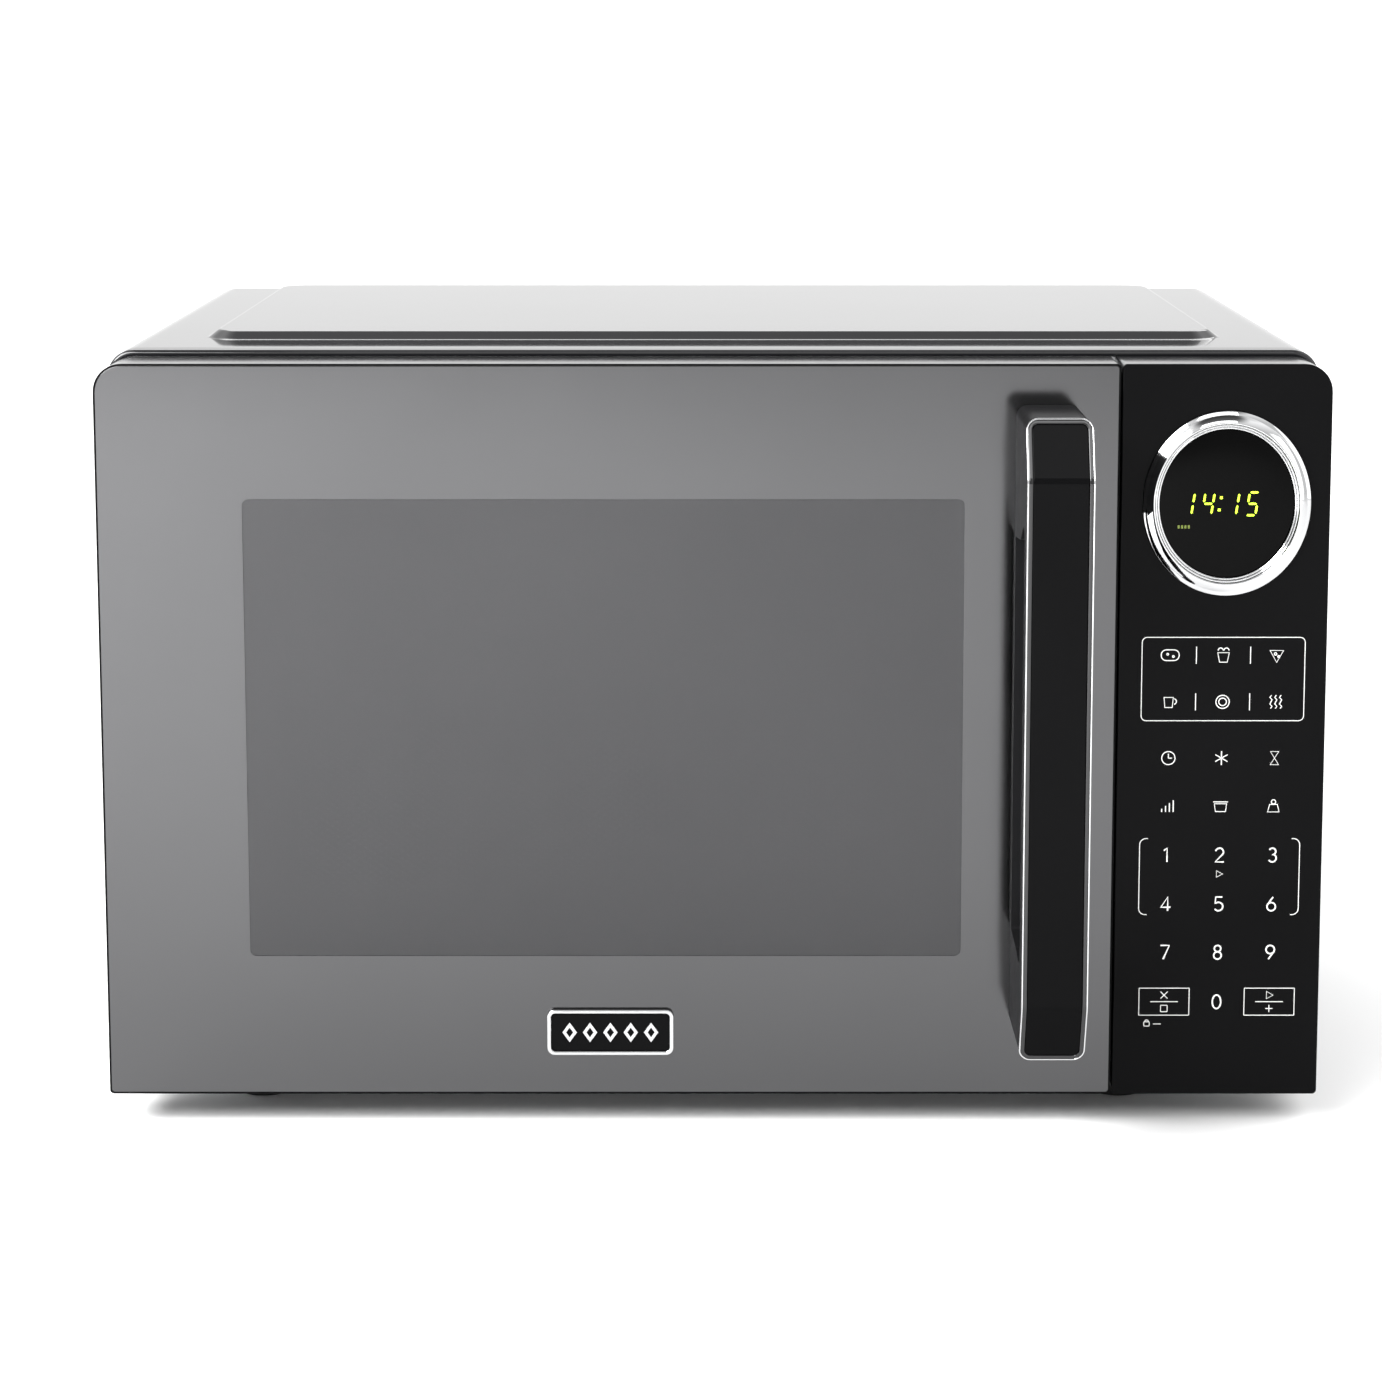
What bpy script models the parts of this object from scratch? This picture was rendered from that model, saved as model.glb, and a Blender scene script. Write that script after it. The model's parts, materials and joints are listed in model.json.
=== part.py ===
"""Countertop microwave oven: every sub-part a closed solid, in metres, +Z up.

The front faces -Y and the feet stand on z = 0. The origin is the middle of the
oven's footprint. The door turns about a vertical axis at its left edge.
"""
import math

import bmesh
import bpy
from mathutils import Matrix, Vector

# Case
HALF_WIDTH = 0.220
CASE_BOTTOM = 0.014
CASE_TOP = 0.2814
CASE_FRONT = -0.103
CASE_REAR = 0.186
SHEET = 0.001
TOP_EDGE_RADIUS = 0.010
PAD_HEIGHT = 0.003
PAD_HALF_WIDTH = 0.190
PAD_FRONT = -0.063
PAD_REAR = 0.170
REAR_LIP = 0.012
FOOT_HEIGHT = 0.0137
FOOT_RADIUS = 0.011

# Face: door and control panel share one front plane
FACE = -0.134
FACE_BOTTOM = 0.012
FACE_TOP = 0.2792
FACE_CORNER = 0.010
FACE_REAR = -0.107
DOOR_RIGHT = 0.1448
PANEL_LEFT = 0.1455
WINDOW_LOW = (-0.176, 0.056)
WINDOW_HIGH = (0.098, 0.239)
HINGE_X = -0.212
HINGE_Y = -0.114

# Cavity
CAVITY_LOW = (-0.190, 0.042)
CAVITY_HIGH = (0.112, 0.250)
CAVITY_FRONT = -0.1004
CAVITY_REAR = 0.1648
CAVITY_WALL = 0.0012
TABLE_X = -0.039
TABLE_Y = 0.032

# Turntable
ROLLER_RADIUS = 0.007
ROLLER_CIRCLE = 0.092
TRAY_RADIUS = 0.1225
ROLLER_COUNT = 3

# Component bay, to the right of the cavity
FAN_X = 0.166
FAN_Z = 0.084
FAN_BORE = 0.0455
BLADE_COUNT = 5
TRANSFORMER_X = 0.167
TRANSFORMER_Y = 0.055
MAGNETRON_Y = 0.050
MAGNETRON_Z = 0.195
FIN_COUNT = 5

# Latch
HOOK_X = 0.1265
HOOK_HEIGHTS = (0.074, 0.218)
LATCH_SLOT = (0.009, 0.024)
SPRING_TURNS = 4

# Controls
RING_X = 0.183
RING_Z = 0.2295
RING_STRETCH = 1.11

# Handle
HANDLE_X = 0.1192
HANDLE_WIDTH = 0.0232
HANDLE_BASE = -0.1343
HANDLE_FRONT = -0.188

GAP = 0.0003
MERGE = 0.00001
QUARTER = math.pi / 2
FACING = {
    "X": (QUARTER, 0, QUARTER),
    "Y": (QUARTER, 0, 0),
    "Z": (0, 0, 0),
}


def clear_scene():
    for thing in list(bpy.data.objects):
        bpy.data.objects.remove(thing)


def new_collection(name):
    group = bpy.data.collections.new(name)
    bpy.context.scene.collection.children.link(group)
    return group


def add_object(name, mesh, location=(0, 0, 0), rotation=(0, 0, 0), tool=False):
    thing = bpy.data.objects.new(name, mesh)
    thing.location = location
    thing.rotation_euler = rotation
    (CUTTERS if tool else PARTS).objects.link(thing)
    if tool:
        thing.hide_render = True
        thing.display_type = "WIRE"
    return thing


def mesh_from(bm, name):
    mesh = bpy.data.meshes.new(name)
    bm.to_mesh(mesh)
    bm.free()
    return mesh


def box(name, low, high, tool=False):
    """A box between two opposite corners."""
    low, high = Vector(low), Vector(high)
    bm = bmesh.new()
    bmesh.ops.create_cube(bm, size=1, matrix=Matrix.Diagonal((*(high - low), 1)))
    return add_object(name, mesh_from(bm, name), (low + high) / 2, tool=tool)


def boxes(name, corners, tool=True):
    """Several separate boxes in one mesh, for cutting a row of slots."""
    bm = bmesh.new()
    for low, high in corners:
        low, high = Vector(low), Vector(high)
        place = Matrix.Translation((low + high) / 2) @ Matrix.Diagonal((*(high - low), 1))
        bmesh.ops.create_cube(bm, size=1, matrix=place)
    return add_object(name, mesh_from(bm, name), tool=tool)


def cylinder(name, centre, axis, radius, length, sides=24, tool=False):
    """A cylinder about one of the world's axes."""
    bm = bmesh.new()
    bmesh.ops.create_cone(
        bm, cap_ends=True, segments=sides, radius1=radius, radius2=radius, depth=length)
    turn = {"X": (0, QUARTER, 0), "Y": (QUARTER, 0, 0), "Z": (0, 0, 0)}[axis]
    return add_object(name, mesh_from(bm, name), centre, turn, tool)


def turned(name, profile, centre, rotation=(0, 0, 0), steps=32, ring=False, tool=False):
    """A profile of (radius, height) points, top first, turned about local Z."""
    bm = bmesh.new()
    points = [bm.verts.new((radius, 0, height)) for radius, height in profile]
    for first, second in zip(points, points[1:]):
        bm.edges.new((first, second))
    if ring:
        bm.edges.new((points[-1], points[0]))
    thing = add_object(name, mesh_from(bm, name), centre, rotation, tool)
    screw = thing.modifiers.new("turn", "SCREW")
    screw.steps = screw.render_steps = steps
    screw.use_merge_vertices = True
    screw.merge_threshold = MERGE
    return thing


def rounded(low, high, radii, steps=4):
    """Outline of a rectangle; radii run bottom-left, bottom-right, top-right, top-left."""
    corners = [
        (low[0], low[1], 1, 1, 180), (high[0], low[1], -1, 1, 270),
        (high[0], high[1], -1, -1, 0), (low[0], high[1], 1, -1, 90)]
    points = []
    for (u, v, inward_u, inward_v, start), radius in zip(corners, radii):
        count = steps if radius > 0 else 0
        for step in range(count + 1):
            angle = math.radians(start + 90 * step / max(count, 1))
            points.append((
                u + inward_u * radius + radius * math.cos(angle),
                v + inward_v * radius + radius * math.sin(angle)))
    return points


def shrunk(low, high, inset):
    return (low[0] + inset, low[1] + inset), (high[0] - inset, high[1] - inset)


def oval(centre, half_u, half_v, steps=36):
    turns = [2 * math.pi * step / steps for step in range(steps)]
    return [(centre[0] + half_u * math.cos(a), centre[1] + half_v * math.sin(a)) for a in turns]


def plate(name, outlines, span, facing="Y", tool=False):
    """Flat outlines, the first the outside and the rest holes, made thick across span."""
    curve = bpy.data.curves.new(name + "_outline", "CURVE")
    curve.dimensions = "2D"
    curve.fill_mode = "BOTH"
    curve.extrude = (span[1] - span[0]) / 2
    for points in outlines:
        spline = curve.splines.new("POLY")
        spline.points.add(len(points) - 1)
        for slot, (u, v) in zip(spline.points, points):
            slot.co = (u, v, 0, 1)
        spline.use_cyclic_u = True
    middle = (span[0] + span[1]) / 2
    location = {"X": (middle, 0, 0), "Y": (0, middle, 0), "Z": (0, 0, middle)}[facing]
    return solid_from_curve(name, curve, location, FACING[facing], tool)


def solid_from_curve(name, curve, location=(0, 0, 0), rotation=(0, 0, 0), tool=False):
    """The curve's evaluated surface as a welded mesh object."""
    guide = bpy.data.objects.new(name + "_guide", curve)
    bpy.context.scene.collection.objects.link(guide)
    guide.location = location
    guide.rotation_euler = rotation
    bpy.context.view_layer.update()
    evaluated = guide.evaluated_get(bpy.context.evaluated_depsgraph_get())
    mesh = bpy.data.meshes.new_from_object(evaluated)
    bm = bmesh.new()
    bm.from_mesh(mesh)
    bmesh.ops.remove_doubles(bm, verts=bm.verts, dist=MERGE)
    bmesh.ops.recalc_face_normals(bm, faces=bm.faces)
    bm.to_mesh(mesh)
    bm.free()
    thing = add_object(name, mesh, tool=tool)
    thing.matrix_world = guide.matrix_world.copy()
    bpy.data.objects.remove(guide)
    return thing


def combine(thing, operation, others):
    for other in others:
        step = thing.modifiers.new(operation.lower(), "BOOLEAN")
        step.operation = operation
        step.solver = "EXACT"
        step.object = other
    return thing


def cut(thing, *tools):
    return combine(thing, "DIFFERENCE", tools)


def join(thing, *tools):
    return combine(thing, "UNION", tools)


def material(name, colour, roughness, metallic=0.0, alpha=1.0):
    look = bpy.data.materials.new(name)
    look.use_nodes = True
    shader = look.node_tree.nodes["Principled BSDF"]
    shader.inputs["Base Color"].default_value = (*colour, 1)
    shader.inputs["Roughness"].default_value = roughness
    shader.inputs["Metallic"].default_value = metallic
    shader.inputs["Alpha"].default_value = alpha
    return look


def finish(thing, look, smooth=False):
    """Give the part its material and, where it is round, smooth shading."""
    thing.data.materials.clear()
    thing.data.materials.append(look)
    if smooth:
        thing.data.shade_smooth()
        thing.data.set_sharp_from_angle(angle=math.radians(35))
    return thing


def joint_empty(name, location):
    empty = bpy.data.objects.new(name, None)
    empty.location = location
    PARTS.objects.link(empty)
    bpy.context.view_layer.update()
    return empty


def carry(empty, things):
    """Parent the things to a joint's empty and leave them where they are."""
    for thing in things:
        thing.parent = empty
        thing.matrix_parent_inverse = empty.matrix_world.inverted()


# ---------------------------------------------------------------- case

def side_slots(name, side, start, rows, count):
    """Upright vent slots through one side of the cover."""
    pitch, width, length = 0.012, 0.003, 0.034
    slots = []
    for row in range(rows):
        for place in range(count):
            y = start[0] + place * pitch
            z = start[1] + row * (length + 0.008)
            x = side * HALF_WIDTH
            slots.append(((x - 0.004, y, z), (x + 0.004, y + width, z + length)))
    return boxes(name, slots)


def case_outline(inset, bottom):
    low = (-HALF_WIDTH + inset, bottom)
    high = (HALF_WIDTH - inset, CASE_TOP - inset)
    top = TOP_EDGE_RADIUS - inset
    return [rounded(low, high, (0, 0, top, top))]


def pad_solid(name, inset, bottom, top, tool=True):
    """The raised panel on the cover's top, with sloping walls."""
    slope = 0.004
    low = (-PAD_HALF_WIDTH + inset, PAD_FRONT + inset)
    high = (PAD_HALF_WIDTH - inset, PAD_REAR - inset)
    pad = plate(name, [rounded(low, high, (0.014,) * 4)], (bottom, top), "Z", tool)
    middle_y = (PAD_FRONT + PAD_REAR) / 2
    for point in pad.data.vertices:
        if point.co.z > 0:
            point.co.x *= 1 - slope / PAD_HALF_WIDTH
            point.co.y = middle_y + (point.co.y - middle_y) * (1 - slope / (PAD_REAR - middle_y))
    return pad


def make_outer_cover():
    cover = plate(
        "outer_cover", case_outline(0, CASE_BOTTOM), (CASE_FRONT, CASE_REAR))
    join(cover, pad_solid("cover_pad", 0, CASE_TOP - 0.004, CASE_TOP + PAD_HEIGHT))
    inside = plate(
        "cover_inside", case_outline(SHEET, CASE_BOTTOM + SHEET),
        (CASE_FRONT - SHEET, CASE_REAR - SHEET), tool=True)
    pad_inside = pad_solid(
        "cover_pad_inside", SHEET, CASE_TOP - 0.006, CASE_TOP + PAD_HEIGHT - SHEET)
    open_x = HALF_WIDTH - REAR_LIP
    underside = box(
        "cover_underside", (-open_x, CASE_FRONT - SHEET, CASE_BOTTOM - SHEET),
        (open_x, CASE_REAR + SHEET, CASE_BOTTOM + 2 * SHEET), tool=True)
    back = box(
        "cover_back", (-open_x, CASE_REAR - 2 * SHEET, CASE_BOTTOM - SHEET),
        (open_x, CASE_REAR + SHEET, CASE_TOP - REAR_LIP), tool=True)
    cut(cover, inside, pad_inside, underside, back)
    cut(cover, side_slots("right_vents", 1, (0.060, 0.060), 2, 5))
    cut(cover, side_slots("left_vents", -1, (0.090, 0.190), 1, 5))
    cut(cover, *screw_holes("cover_screw_hole", 0.0020))
    return finish(cover, PAINT)


def screw_places():
    return [(side * (HALF_WIDTH - 0.006), 0.235) for side in (-1, 1)]


def screw_holes(name, radius):
    return [
        cylinder(f"{name}_{index}", (x, CASE_REAR, z), "Y", radius, 0.010, 12, tool=True)
        for index, (x, z) in enumerate(screw_places())]


def make_rear_panel():
    inset = SHEET + 0.0004
    low = (-HALF_WIDTH + inset, CASE_BOTTOM + inset)
    high = (HALF_WIDTH - inset, CASE_TOP - inset)
    corner = TOP_EDGE_RADIUS - inset
    outline = rounded(low, high, (0, 0, corner, corner))
    gland_hole = oval(GLAND_PLACE, 0.0075, 0.0075, 20)
    panel = plate("rear_panel", [outline, gland_hole], (0.1833, 0.1845))
    fan_slots = [
        ((FAN_X - 0.036, 0.180, FAN_Z + z), (FAN_X + 0.036, 0.188, FAN_Z + z + 0.005))
        for z in (-0.032, -0.018, -0.004, 0.010, 0.024)]
    cavity_slots = [
        ((x, 0.180, 0.196), (x + 0.004, 0.188, 0.232))
        for x in (-0.150, -0.136, -0.122, -0.108)]
    cut(panel, boxes("rear_vents", fan_slots + cavity_slots))
    cut(panel, *screw_holes("panel_screw_hole", 0.0020))
    return finish(panel, STEEL)


def make_base_plate():
    edge = HALF_WIDTH - REAR_LIP - 0.0004
    plate_box = box(
        "base_plate", (-edge, -0.100, CASE_BOTTOM), (edge, 0.1829, CASE_BOTTOM + 0.0012))
    slots = [
        ((0.120, y, 0.010), (0.165, y + 0.004, 0.018)) for y in (-0.020, -0.006, 0.104, 0.118)]
    return finish(cut(plate_box, boxes("base_vents", slots)), STEEL)


def make_feet():
    profile = [
        (0, FOOT_HEIGHT), (0.0085, FOOT_HEIGHT), (FOOT_RADIUS, 0.0115),
        (FOOT_RADIUS, 0.0015), (0.0095, 0), (0, 0)]
    places = {
        "front_left_foot": (-0.169, -0.087), "front_right_foot": (0.152, -0.087),
        "rear_left_foot": (-0.169, 0.160), "rear_right_foot": (0.169, 0.160)}
    for name, (x, y) in places.items():
        finish(turned(name, profile, (x, y, 0), steps=18), RUBBER, smooth=True)


def make_cover_screws():
    profile = [
        (0, 0.0019), (0.0022, 0.0019), (0.0032, 0.0010), (0.0032, 0),
        (0.0016, 0), (0.0016, -0.006), (0, -0.007)]
    for side, (x, z) in zip(("left", "right"), screw_places()):
        screw = turned(
            f"cover_screw_{side}", profile, (x, CASE_REAR + 0.0001, z), (-QUARTER, 0, 0), 12)
        finish(screw, STEEL, smooth=True)


def make_cord_gland():
    profile = [
        (0.0055, 0.0032), (0.0080, 0.0032), (0.0100, 0.0016), (0.0100, 0), (0.0072, 0),
        (0.0072, -0.0020), (0.0088, -0.0026), (0.0072, -0.0090), (0.0036, -0.0090),
        (0.0036, 0.0032)]
    place = (GLAND_PLACE[0], 0.1848, GLAND_PLACE[1])
    gland = turned("cord_gland", profile, place, (-QUARTER, 0, 0), 20, ring=True)
    return finish(gland, BLACK_PLASTIC, smooth=True)


# ---------------------------------------------------------------- cavity

def latch_slots(name, span):
    """Upright slots that the two latch hooks pass through."""
    half_x, half_z = LATCH_SLOT[0] / 2, LATCH_SLOT[1] / 2
    slots = [
        ((HOOK_X - half_x, span[0], z - half_z), (HOOK_X + half_x, span[1], z + half_z))
        for z in HOOK_HEIGHTS]
    return boxes(name, slots)


def make_front_frame():
    corner = TOP_EDGE_RADIUS - SHEET - 0.0004
    outline = rounded((-0.2186, 0.0156), (0.150, 0.2800), (0, 0, 0, corner))
    opening = rounded(CAVITY_LOW, CAVITY_HIGH, (0.006,) * 4)
    frame = plate("front_frame", [outline, opening], (-0.1019, -0.1007))
    cut(frame, latch_slots("frame_latch_slots", (-0.106, -0.096)))
    hinge_slots = [
        ((HINGE_X - 0.005, -0.104, z - 0.003), (HINGE_X + 0.005, -0.098, z + 0.003))
        for z in (0.02275, 0.26725)]
    return finish(cut(frame, boxes("frame_hinge_slots", hinge_slots)), ENAMEL)


def make_cavity_box():
    wall = CAVITY_WALL
    cavity = box(
        "cavity_box",
        (CAVITY_LOW[0] - wall, CAVITY_FRONT, CAVITY_LOW[1] - wall),
        (CAVITY_HIGH[0] + wall, CAVITY_REAR + wall, CAVITY_HIGH[1] + wall))
    inside = box(
        "cavity_inside", (CAVITY_LOW[0], CAVITY_FRONT - 0.005, CAVITY_LOW[1]),
        (CAVITY_HIGH[0], CAVITY_REAR, CAVITY_HIGH[1]), tool=True)
    shaft_hole = cylinder(
        "shaft_hole", (TABLE_X, TABLE_Y, CAVITY_LOW[1]), "Z", 0.006, 0.010, 16, tool=True)
    port = box(
        "wave_port", (CAVITY_HIGH[0] - 0.005, 0.020, 0.170),
        (CAVITY_HIGH[0] + 0.005, 0.080, 0.220), tool=True)
    lamp_slots = [
        ((CAVITY_HIGH[0] - 0.005, y, 0.208), (CAVITY_HIGH[0] + 0.005, y + 0.002, 0.228))
        for y in (-0.058, -0.052, -0.046, -0.040)]
    steam_slots = [
        ((CAVITY_LOW[0] - 0.005, y, 0.200), (CAVITY_LOW[0] + 0.005, y + 0.002, 0.224))
        for y in (0.100, 0.106, 0.112, 0.118)]
    slots = boxes("cavity_slots", lamp_slots + steam_slots)
    return finish(cut(cavity, inside, shaft_hole, port, slots), ENAMEL)


def make_mica_cover():
    cover = box("mica_cover", (0.1110, 0.014, 0.164), (0.1117, 0.086, 0.226))
    return finish(cover, MICA)


def make_waveguide():
    duct = box("waveguide", (0.1135, 0.008, 0.156), (0.1495, 0.092, 0.234))
    inside = box("waveguide_inside", (0.1125, 0.0092, 0.1572), (0.1483, 0.0908, 0.2328), True)
    antenna_hole = cylinder(
        "antenna_hole", (0.149, MAGNETRON_Y, MAGNETRON_Z), "X", 0.0095, 0.010, 20, tool=True)
    return finish(cut(duct, inside, antenna_hole), STEEL)


# ---------------------------------------------------------------- component bay

def make_magnetron():
    left, right = 0.1499, 0.1960
    y, z = MAGNETRON_Y, MAGNETRON_Z
    yoke = box("magnetron", (left, y - 0.038, z - 0.036), (right, y + 0.038, z + 0.036))
    window = box(
        "yoke_window", (left + 0.002, y - 0.050, z - 0.034),
        (right - 0.002, y + 0.050, z + 0.034), tool=True)
    cut(yoke, window)
    first, last = left + 0.013, right - 0.013
    fins = [
        ((x, y - 0.034, z - 0.035), (x + 0.001, y + 0.034, z + 0.035))
        for x in (first + (last - first) * n / (FIN_COUNT - 1) for n in range(FIN_COUNT))]
    join(
        yoke,
        boxes("fins", fins),
        cylinder("anode", ((left + right) / 2, y, z), "X", 0.019, right - left - 0.001, 24, True),
        cylinder("left_magnet", (left + 0.0055, y, z), "X", 0.027, 0.008, 24, tool=True),
        cylinder("right_magnet", (right - 0.0055, y, z), "X", 0.027, 0.008, 24, tool=True),
        cylinder("antenna", (left - 0.008, y, z), "X", 0.0075, 0.018, 16, tool=True),
        box("filter_box", (right - 0.001, y - 0.030, z - 0.026),
            (right + 0.018, y + 0.030, z + 0.026), tool=True))
    return finish(yoke, ALUMINIUM)


def make_transformer():
    x, y = TRANSFORMER_X, TRANSFORMER_Y
    half_x, half_y, bottom, top = 0.039, 0.025, 0.0156, 0.0806
    core = box("transformer_core", (x - half_x, y - half_y, bottom), (x + half_x, y + half_y, top))
    windows = [
        ((x + side - 0.0065, y - 0.040, bottom + 0.013), (x + side + 0.0065, y + 0.040, top - 0.013))
        for side in (-0.0195, 0.0195)]
    finish(cut(core, boxes("core_windows", windows)), LAMINATION)
    outer = rounded((x - 0.0257, y - 0.037), (x + 0.0257, y + 0.037), (0.008,) * 4, 3)
    inner = rounded((x - 0.0133, y - 0.0253), (x + 0.0133, y + 0.0253), (0,) * 4)
    spans = {"primary_winding": (0.0290, 0.0478), "secondary_winding": (0.0484, 0.0672)}
    for name, span in spans.items():
        finish(plate(name, [outer, inner], span, "Z"), COPPER)


def make_hv_capacitor():
    can = plate(
        "hv_capacitor", [rounded((-0.046, 0.0160), (-0.012, 0.0660), (0.015,) * 4, 5)],
        (0.122, 0.200), "X")
    tabs = boxes("capacitor_tabs", [
        ((0.199, -0.0295, z), (0.208, -0.0285, z + 0.006)) for z in (0.030, 0.046)])
    return finish(join(can, tabs), ALUMINIUM)


def make_hv_diode():
    diode = cylinder("hv_diode", (0.160, 0.006, 0.0220), "X", 0.0032, 0.016, 16)
    leads = cylinder("diode_leads", (0.160, 0.006, 0.0220), "X", 0.0009, 0.044, 8, tool=True)
    return finish(join(diode, leads), BLACK_PLASTIC)


def make_fan():
    shroud = box("fan_shroud", (0.118, 0.160, 0.036), (0.2145, 0.180, 0.132))
    bore = cylinder("fan_bore", (FAN_X, 0.172, FAN_Z), "Y", FAN_BORE, 0.030, 36, tool=True)
    bar = box("fan_bar", (0.119, 0.1575, FAN_Z - 0.009), (0.2135, 0.1600, FAN_Z + 0.009), True)
    shaft_hole = cylinder("bar_hole", (FAN_X, 0.160, FAN_Z), "Y", 0.003, 0.010, 16, tool=True)
    corner = (0.0040, 0.1580, 0.0060)
    lugs = boxes("fan_lugs", [
        ((x, corner[1], FAN_Z - corner[2]), (x + corner[0], 0.162, FAN_Z + corner[2]))
        for x in (0.1185, 0.2100)])
    finish(cut(join(cut(shroud, bore), bar, lugs), shaft_hole), BLACK_PLASTIC)

    motor = box("fan_motor", (FAN_X - 0.022, 0.131, FAN_Z - 0.020), (FAN_X + 0.022, 0.146, FAN_Z + 0.020))
    join(
        motor,
        cylinder("motor_bearings", (FAN_X, 0.142, FAN_Z), "Y", 0.009, 0.030, 20, tool=True),
        box("motor_coil", (FAN_X - 0.013, 0.127, FAN_Z - 0.036),
            (FAN_X + 0.013, 0.150, FAN_Z - 0.019), tool=True))
    motor_bore = cylinder("motor_bore", (FAN_X, 0.145, FAN_Z), "Y", 0.0021, 0.060, 16, tool=True)
    finish(cut(motor, motor_bore), LAMINATION)

    fan = cylinder("fan_blade", (FAN_X, 0.170, FAN_Z), "Y", 0.011, 0.012, 20)
    join(
        fan, blade_set(),
        cylinder("fan_shaft", (FAN_X, 0.155, FAN_Z), "Y", 0.0016, 0.026, 12, tool=True))
    return finish(fan, GREY_PLASTIC)


def blade_set():
    """Fan blades, each pitched about its own radius."""
    bm = bmesh.new()
    for blade in range(BLADE_COUNT):
        place = (
            Matrix.Rotation(math.radians(360 / BLADE_COUNT * blade), 4, "Y")
            @ Matrix.Translation((0.0255, 0, 0))
            @ Matrix.Rotation(math.radians(35), 4, "X")
            @ Matrix.Diagonal((0.033, 0.0014, 0.015, 1)))
        bmesh.ops.create_cube(bm, size=1, matrix=place)
    return add_object("blades", mesh_from(bm, "blades"), (FAN_X, 0.170, FAN_Z), tool=True)


def make_lamp():
    axis = (0, QUARTER, 0)
    bulb = [
        (0, 0.022), (0.0045, 0.022), (0.0045, 0.012), (0.0085, 0.006),
        (0.0085, -0.001), (0.005, -0.006), (0, -0.0072)]
    lamp = turned("lamp_bulb", bulb, (0.124, -0.048, 0.218), axis, 20)
    finish(lamp, GLASS, smooth=True)
    holder = box("lamp_holder", (0.1365, -0.060, 0.206), (0.156, -0.036, 0.230))
    socket = cylinder("lamp_socket", (0.138, -0.048, 0.218), "X", 0.0050, 0.018, 16, tool=True)
    return finish(cut(holder, socket), WHITE_PLASTIC)


def make_filter_board():
    board = box("noise_filter", (0.122, 0.100, 0.2440), (0.208, 0.155, 0.2456))
    join(
        board,
        cylinder("choke_coil", (0.142, 0.128, 0.252), "Z", 0.012, 0.0140, 20, tool=True),
        boxes("filter_parts", [
            ((0.160, 0.110, 0.2450), (0.166, 0.136, 0.2600)),
            ((0.176, 0.108, 0.2450), (0.198, 0.122, 0.2540))]))
    return finish(board, CIRCUIT)


def make_latch_bracket():
    bracket = box("latch_bracket", (0.1323, -0.0995, 0.056), (0.1343, -0.0600, 0.236))
    flange = box("bracket_flange", (0.1335, -0.0995, 0.056), (0.1460, -0.0975, 0.236), tool=True)
    return finish(join(bracket, flange), WHITE_PLASTIC)


def make_interlocks():
    """A door switch behind each hook, with the plunger that the hook pushes."""
    front, rear = -0.080, -0.064
    for name, z in zip(("lower", "upper"), HOOK_HEIGHTS):
        switch = box(
            f"{name}_switch", (0.1215, front, z - 0.014), (0.1315, rear, z + 0.014))
        pocket = box(
            f"{name}_pocket", (HOOK_X - 0.0021, front - 0.004, z - 0.0034),
            (HOOK_X + 0.0021, front + 0.0060, z + 0.0034), tool=True)
        finish(cut(switch, pocket), BLACK_PLASTIC)
        plunger = box(
            f"{name}_plunger", (HOOK_X - 0.0017, front - 0.0065, z - 0.0030),
            (HOOK_X + 0.0017, front + 0.0040, z + 0.0030))
        finish(plunger, RED_PLASTIC)


# ---------------------------------------------------------------- turntable

def make_turntable_motor():
    motor = cylinder("turntable_motor", (TABLE_X, TABLE_Y, 0.0245), "Z", 0.024, 0.015, 28)
    join(
        motor,
        cylinder("motor_boss", (TABLE_X, TABLE_Y, 0.0335), "Z", 0.006, 0.005, 16, tool=True),
        box("motor_ears", (TABLE_X - 0.032, TABLE_Y - 0.005, 0.0302),
            (TABLE_X + 0.032, TABLE_Y + 0.005, 0.0316), tool=True))
    return finish(motor, STEEL)


def make_coupler():
    """Three-lobed hub on its drive shaft."""
    turns = [2 * math.pi * step / 30 for step in range(30)]
    lobes = [
        (TABLE_X + (0.0135 + 0.0040 * math.cos(3 * a)) * math.cos(a),
         TABLE_Y + (0.0135 + 0.0040 * math.cos(3 * a)) * math.sin(a)) for a in turns]
    hub = plate("turntable_coupler", [lobes], (0.0435, 0.0563), "Z")
    shaft = cylinder(
        "turntable_shaft", (TABLE_X, TABLE_Y, 0.0404), "Z", 0.0033, 0.0078, 16, tool=True)
    return finish(join(hub, shaft), CLEAR_PLASTIC)


def make_tray():
    rolling = 0.0566
    profile = [
        (0, rolling + 0.005), (0.100, rolling + 0.005), (0.108, rolling + 0.0075),
        (0.1190, rolling + 0.0150), (TRAY_RADIUS, rolling + 0.0150),
        (TRAY_RADIUS, rolling + 0.0130), (0.1110, rolling + 0.0026), (0.103, rolling),
        (0, rolling)]
    tray = turned("glass_tray", profile, (TABLE_X, TABLE_Y, 0), steps=40)
    return finish(tray, GLASS, smooth=True)


def roller_angles():
    return [math.radians(90 + 360 / ROLLER_COUNT * n) for n in range(ROLLER_COUNT)]


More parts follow.
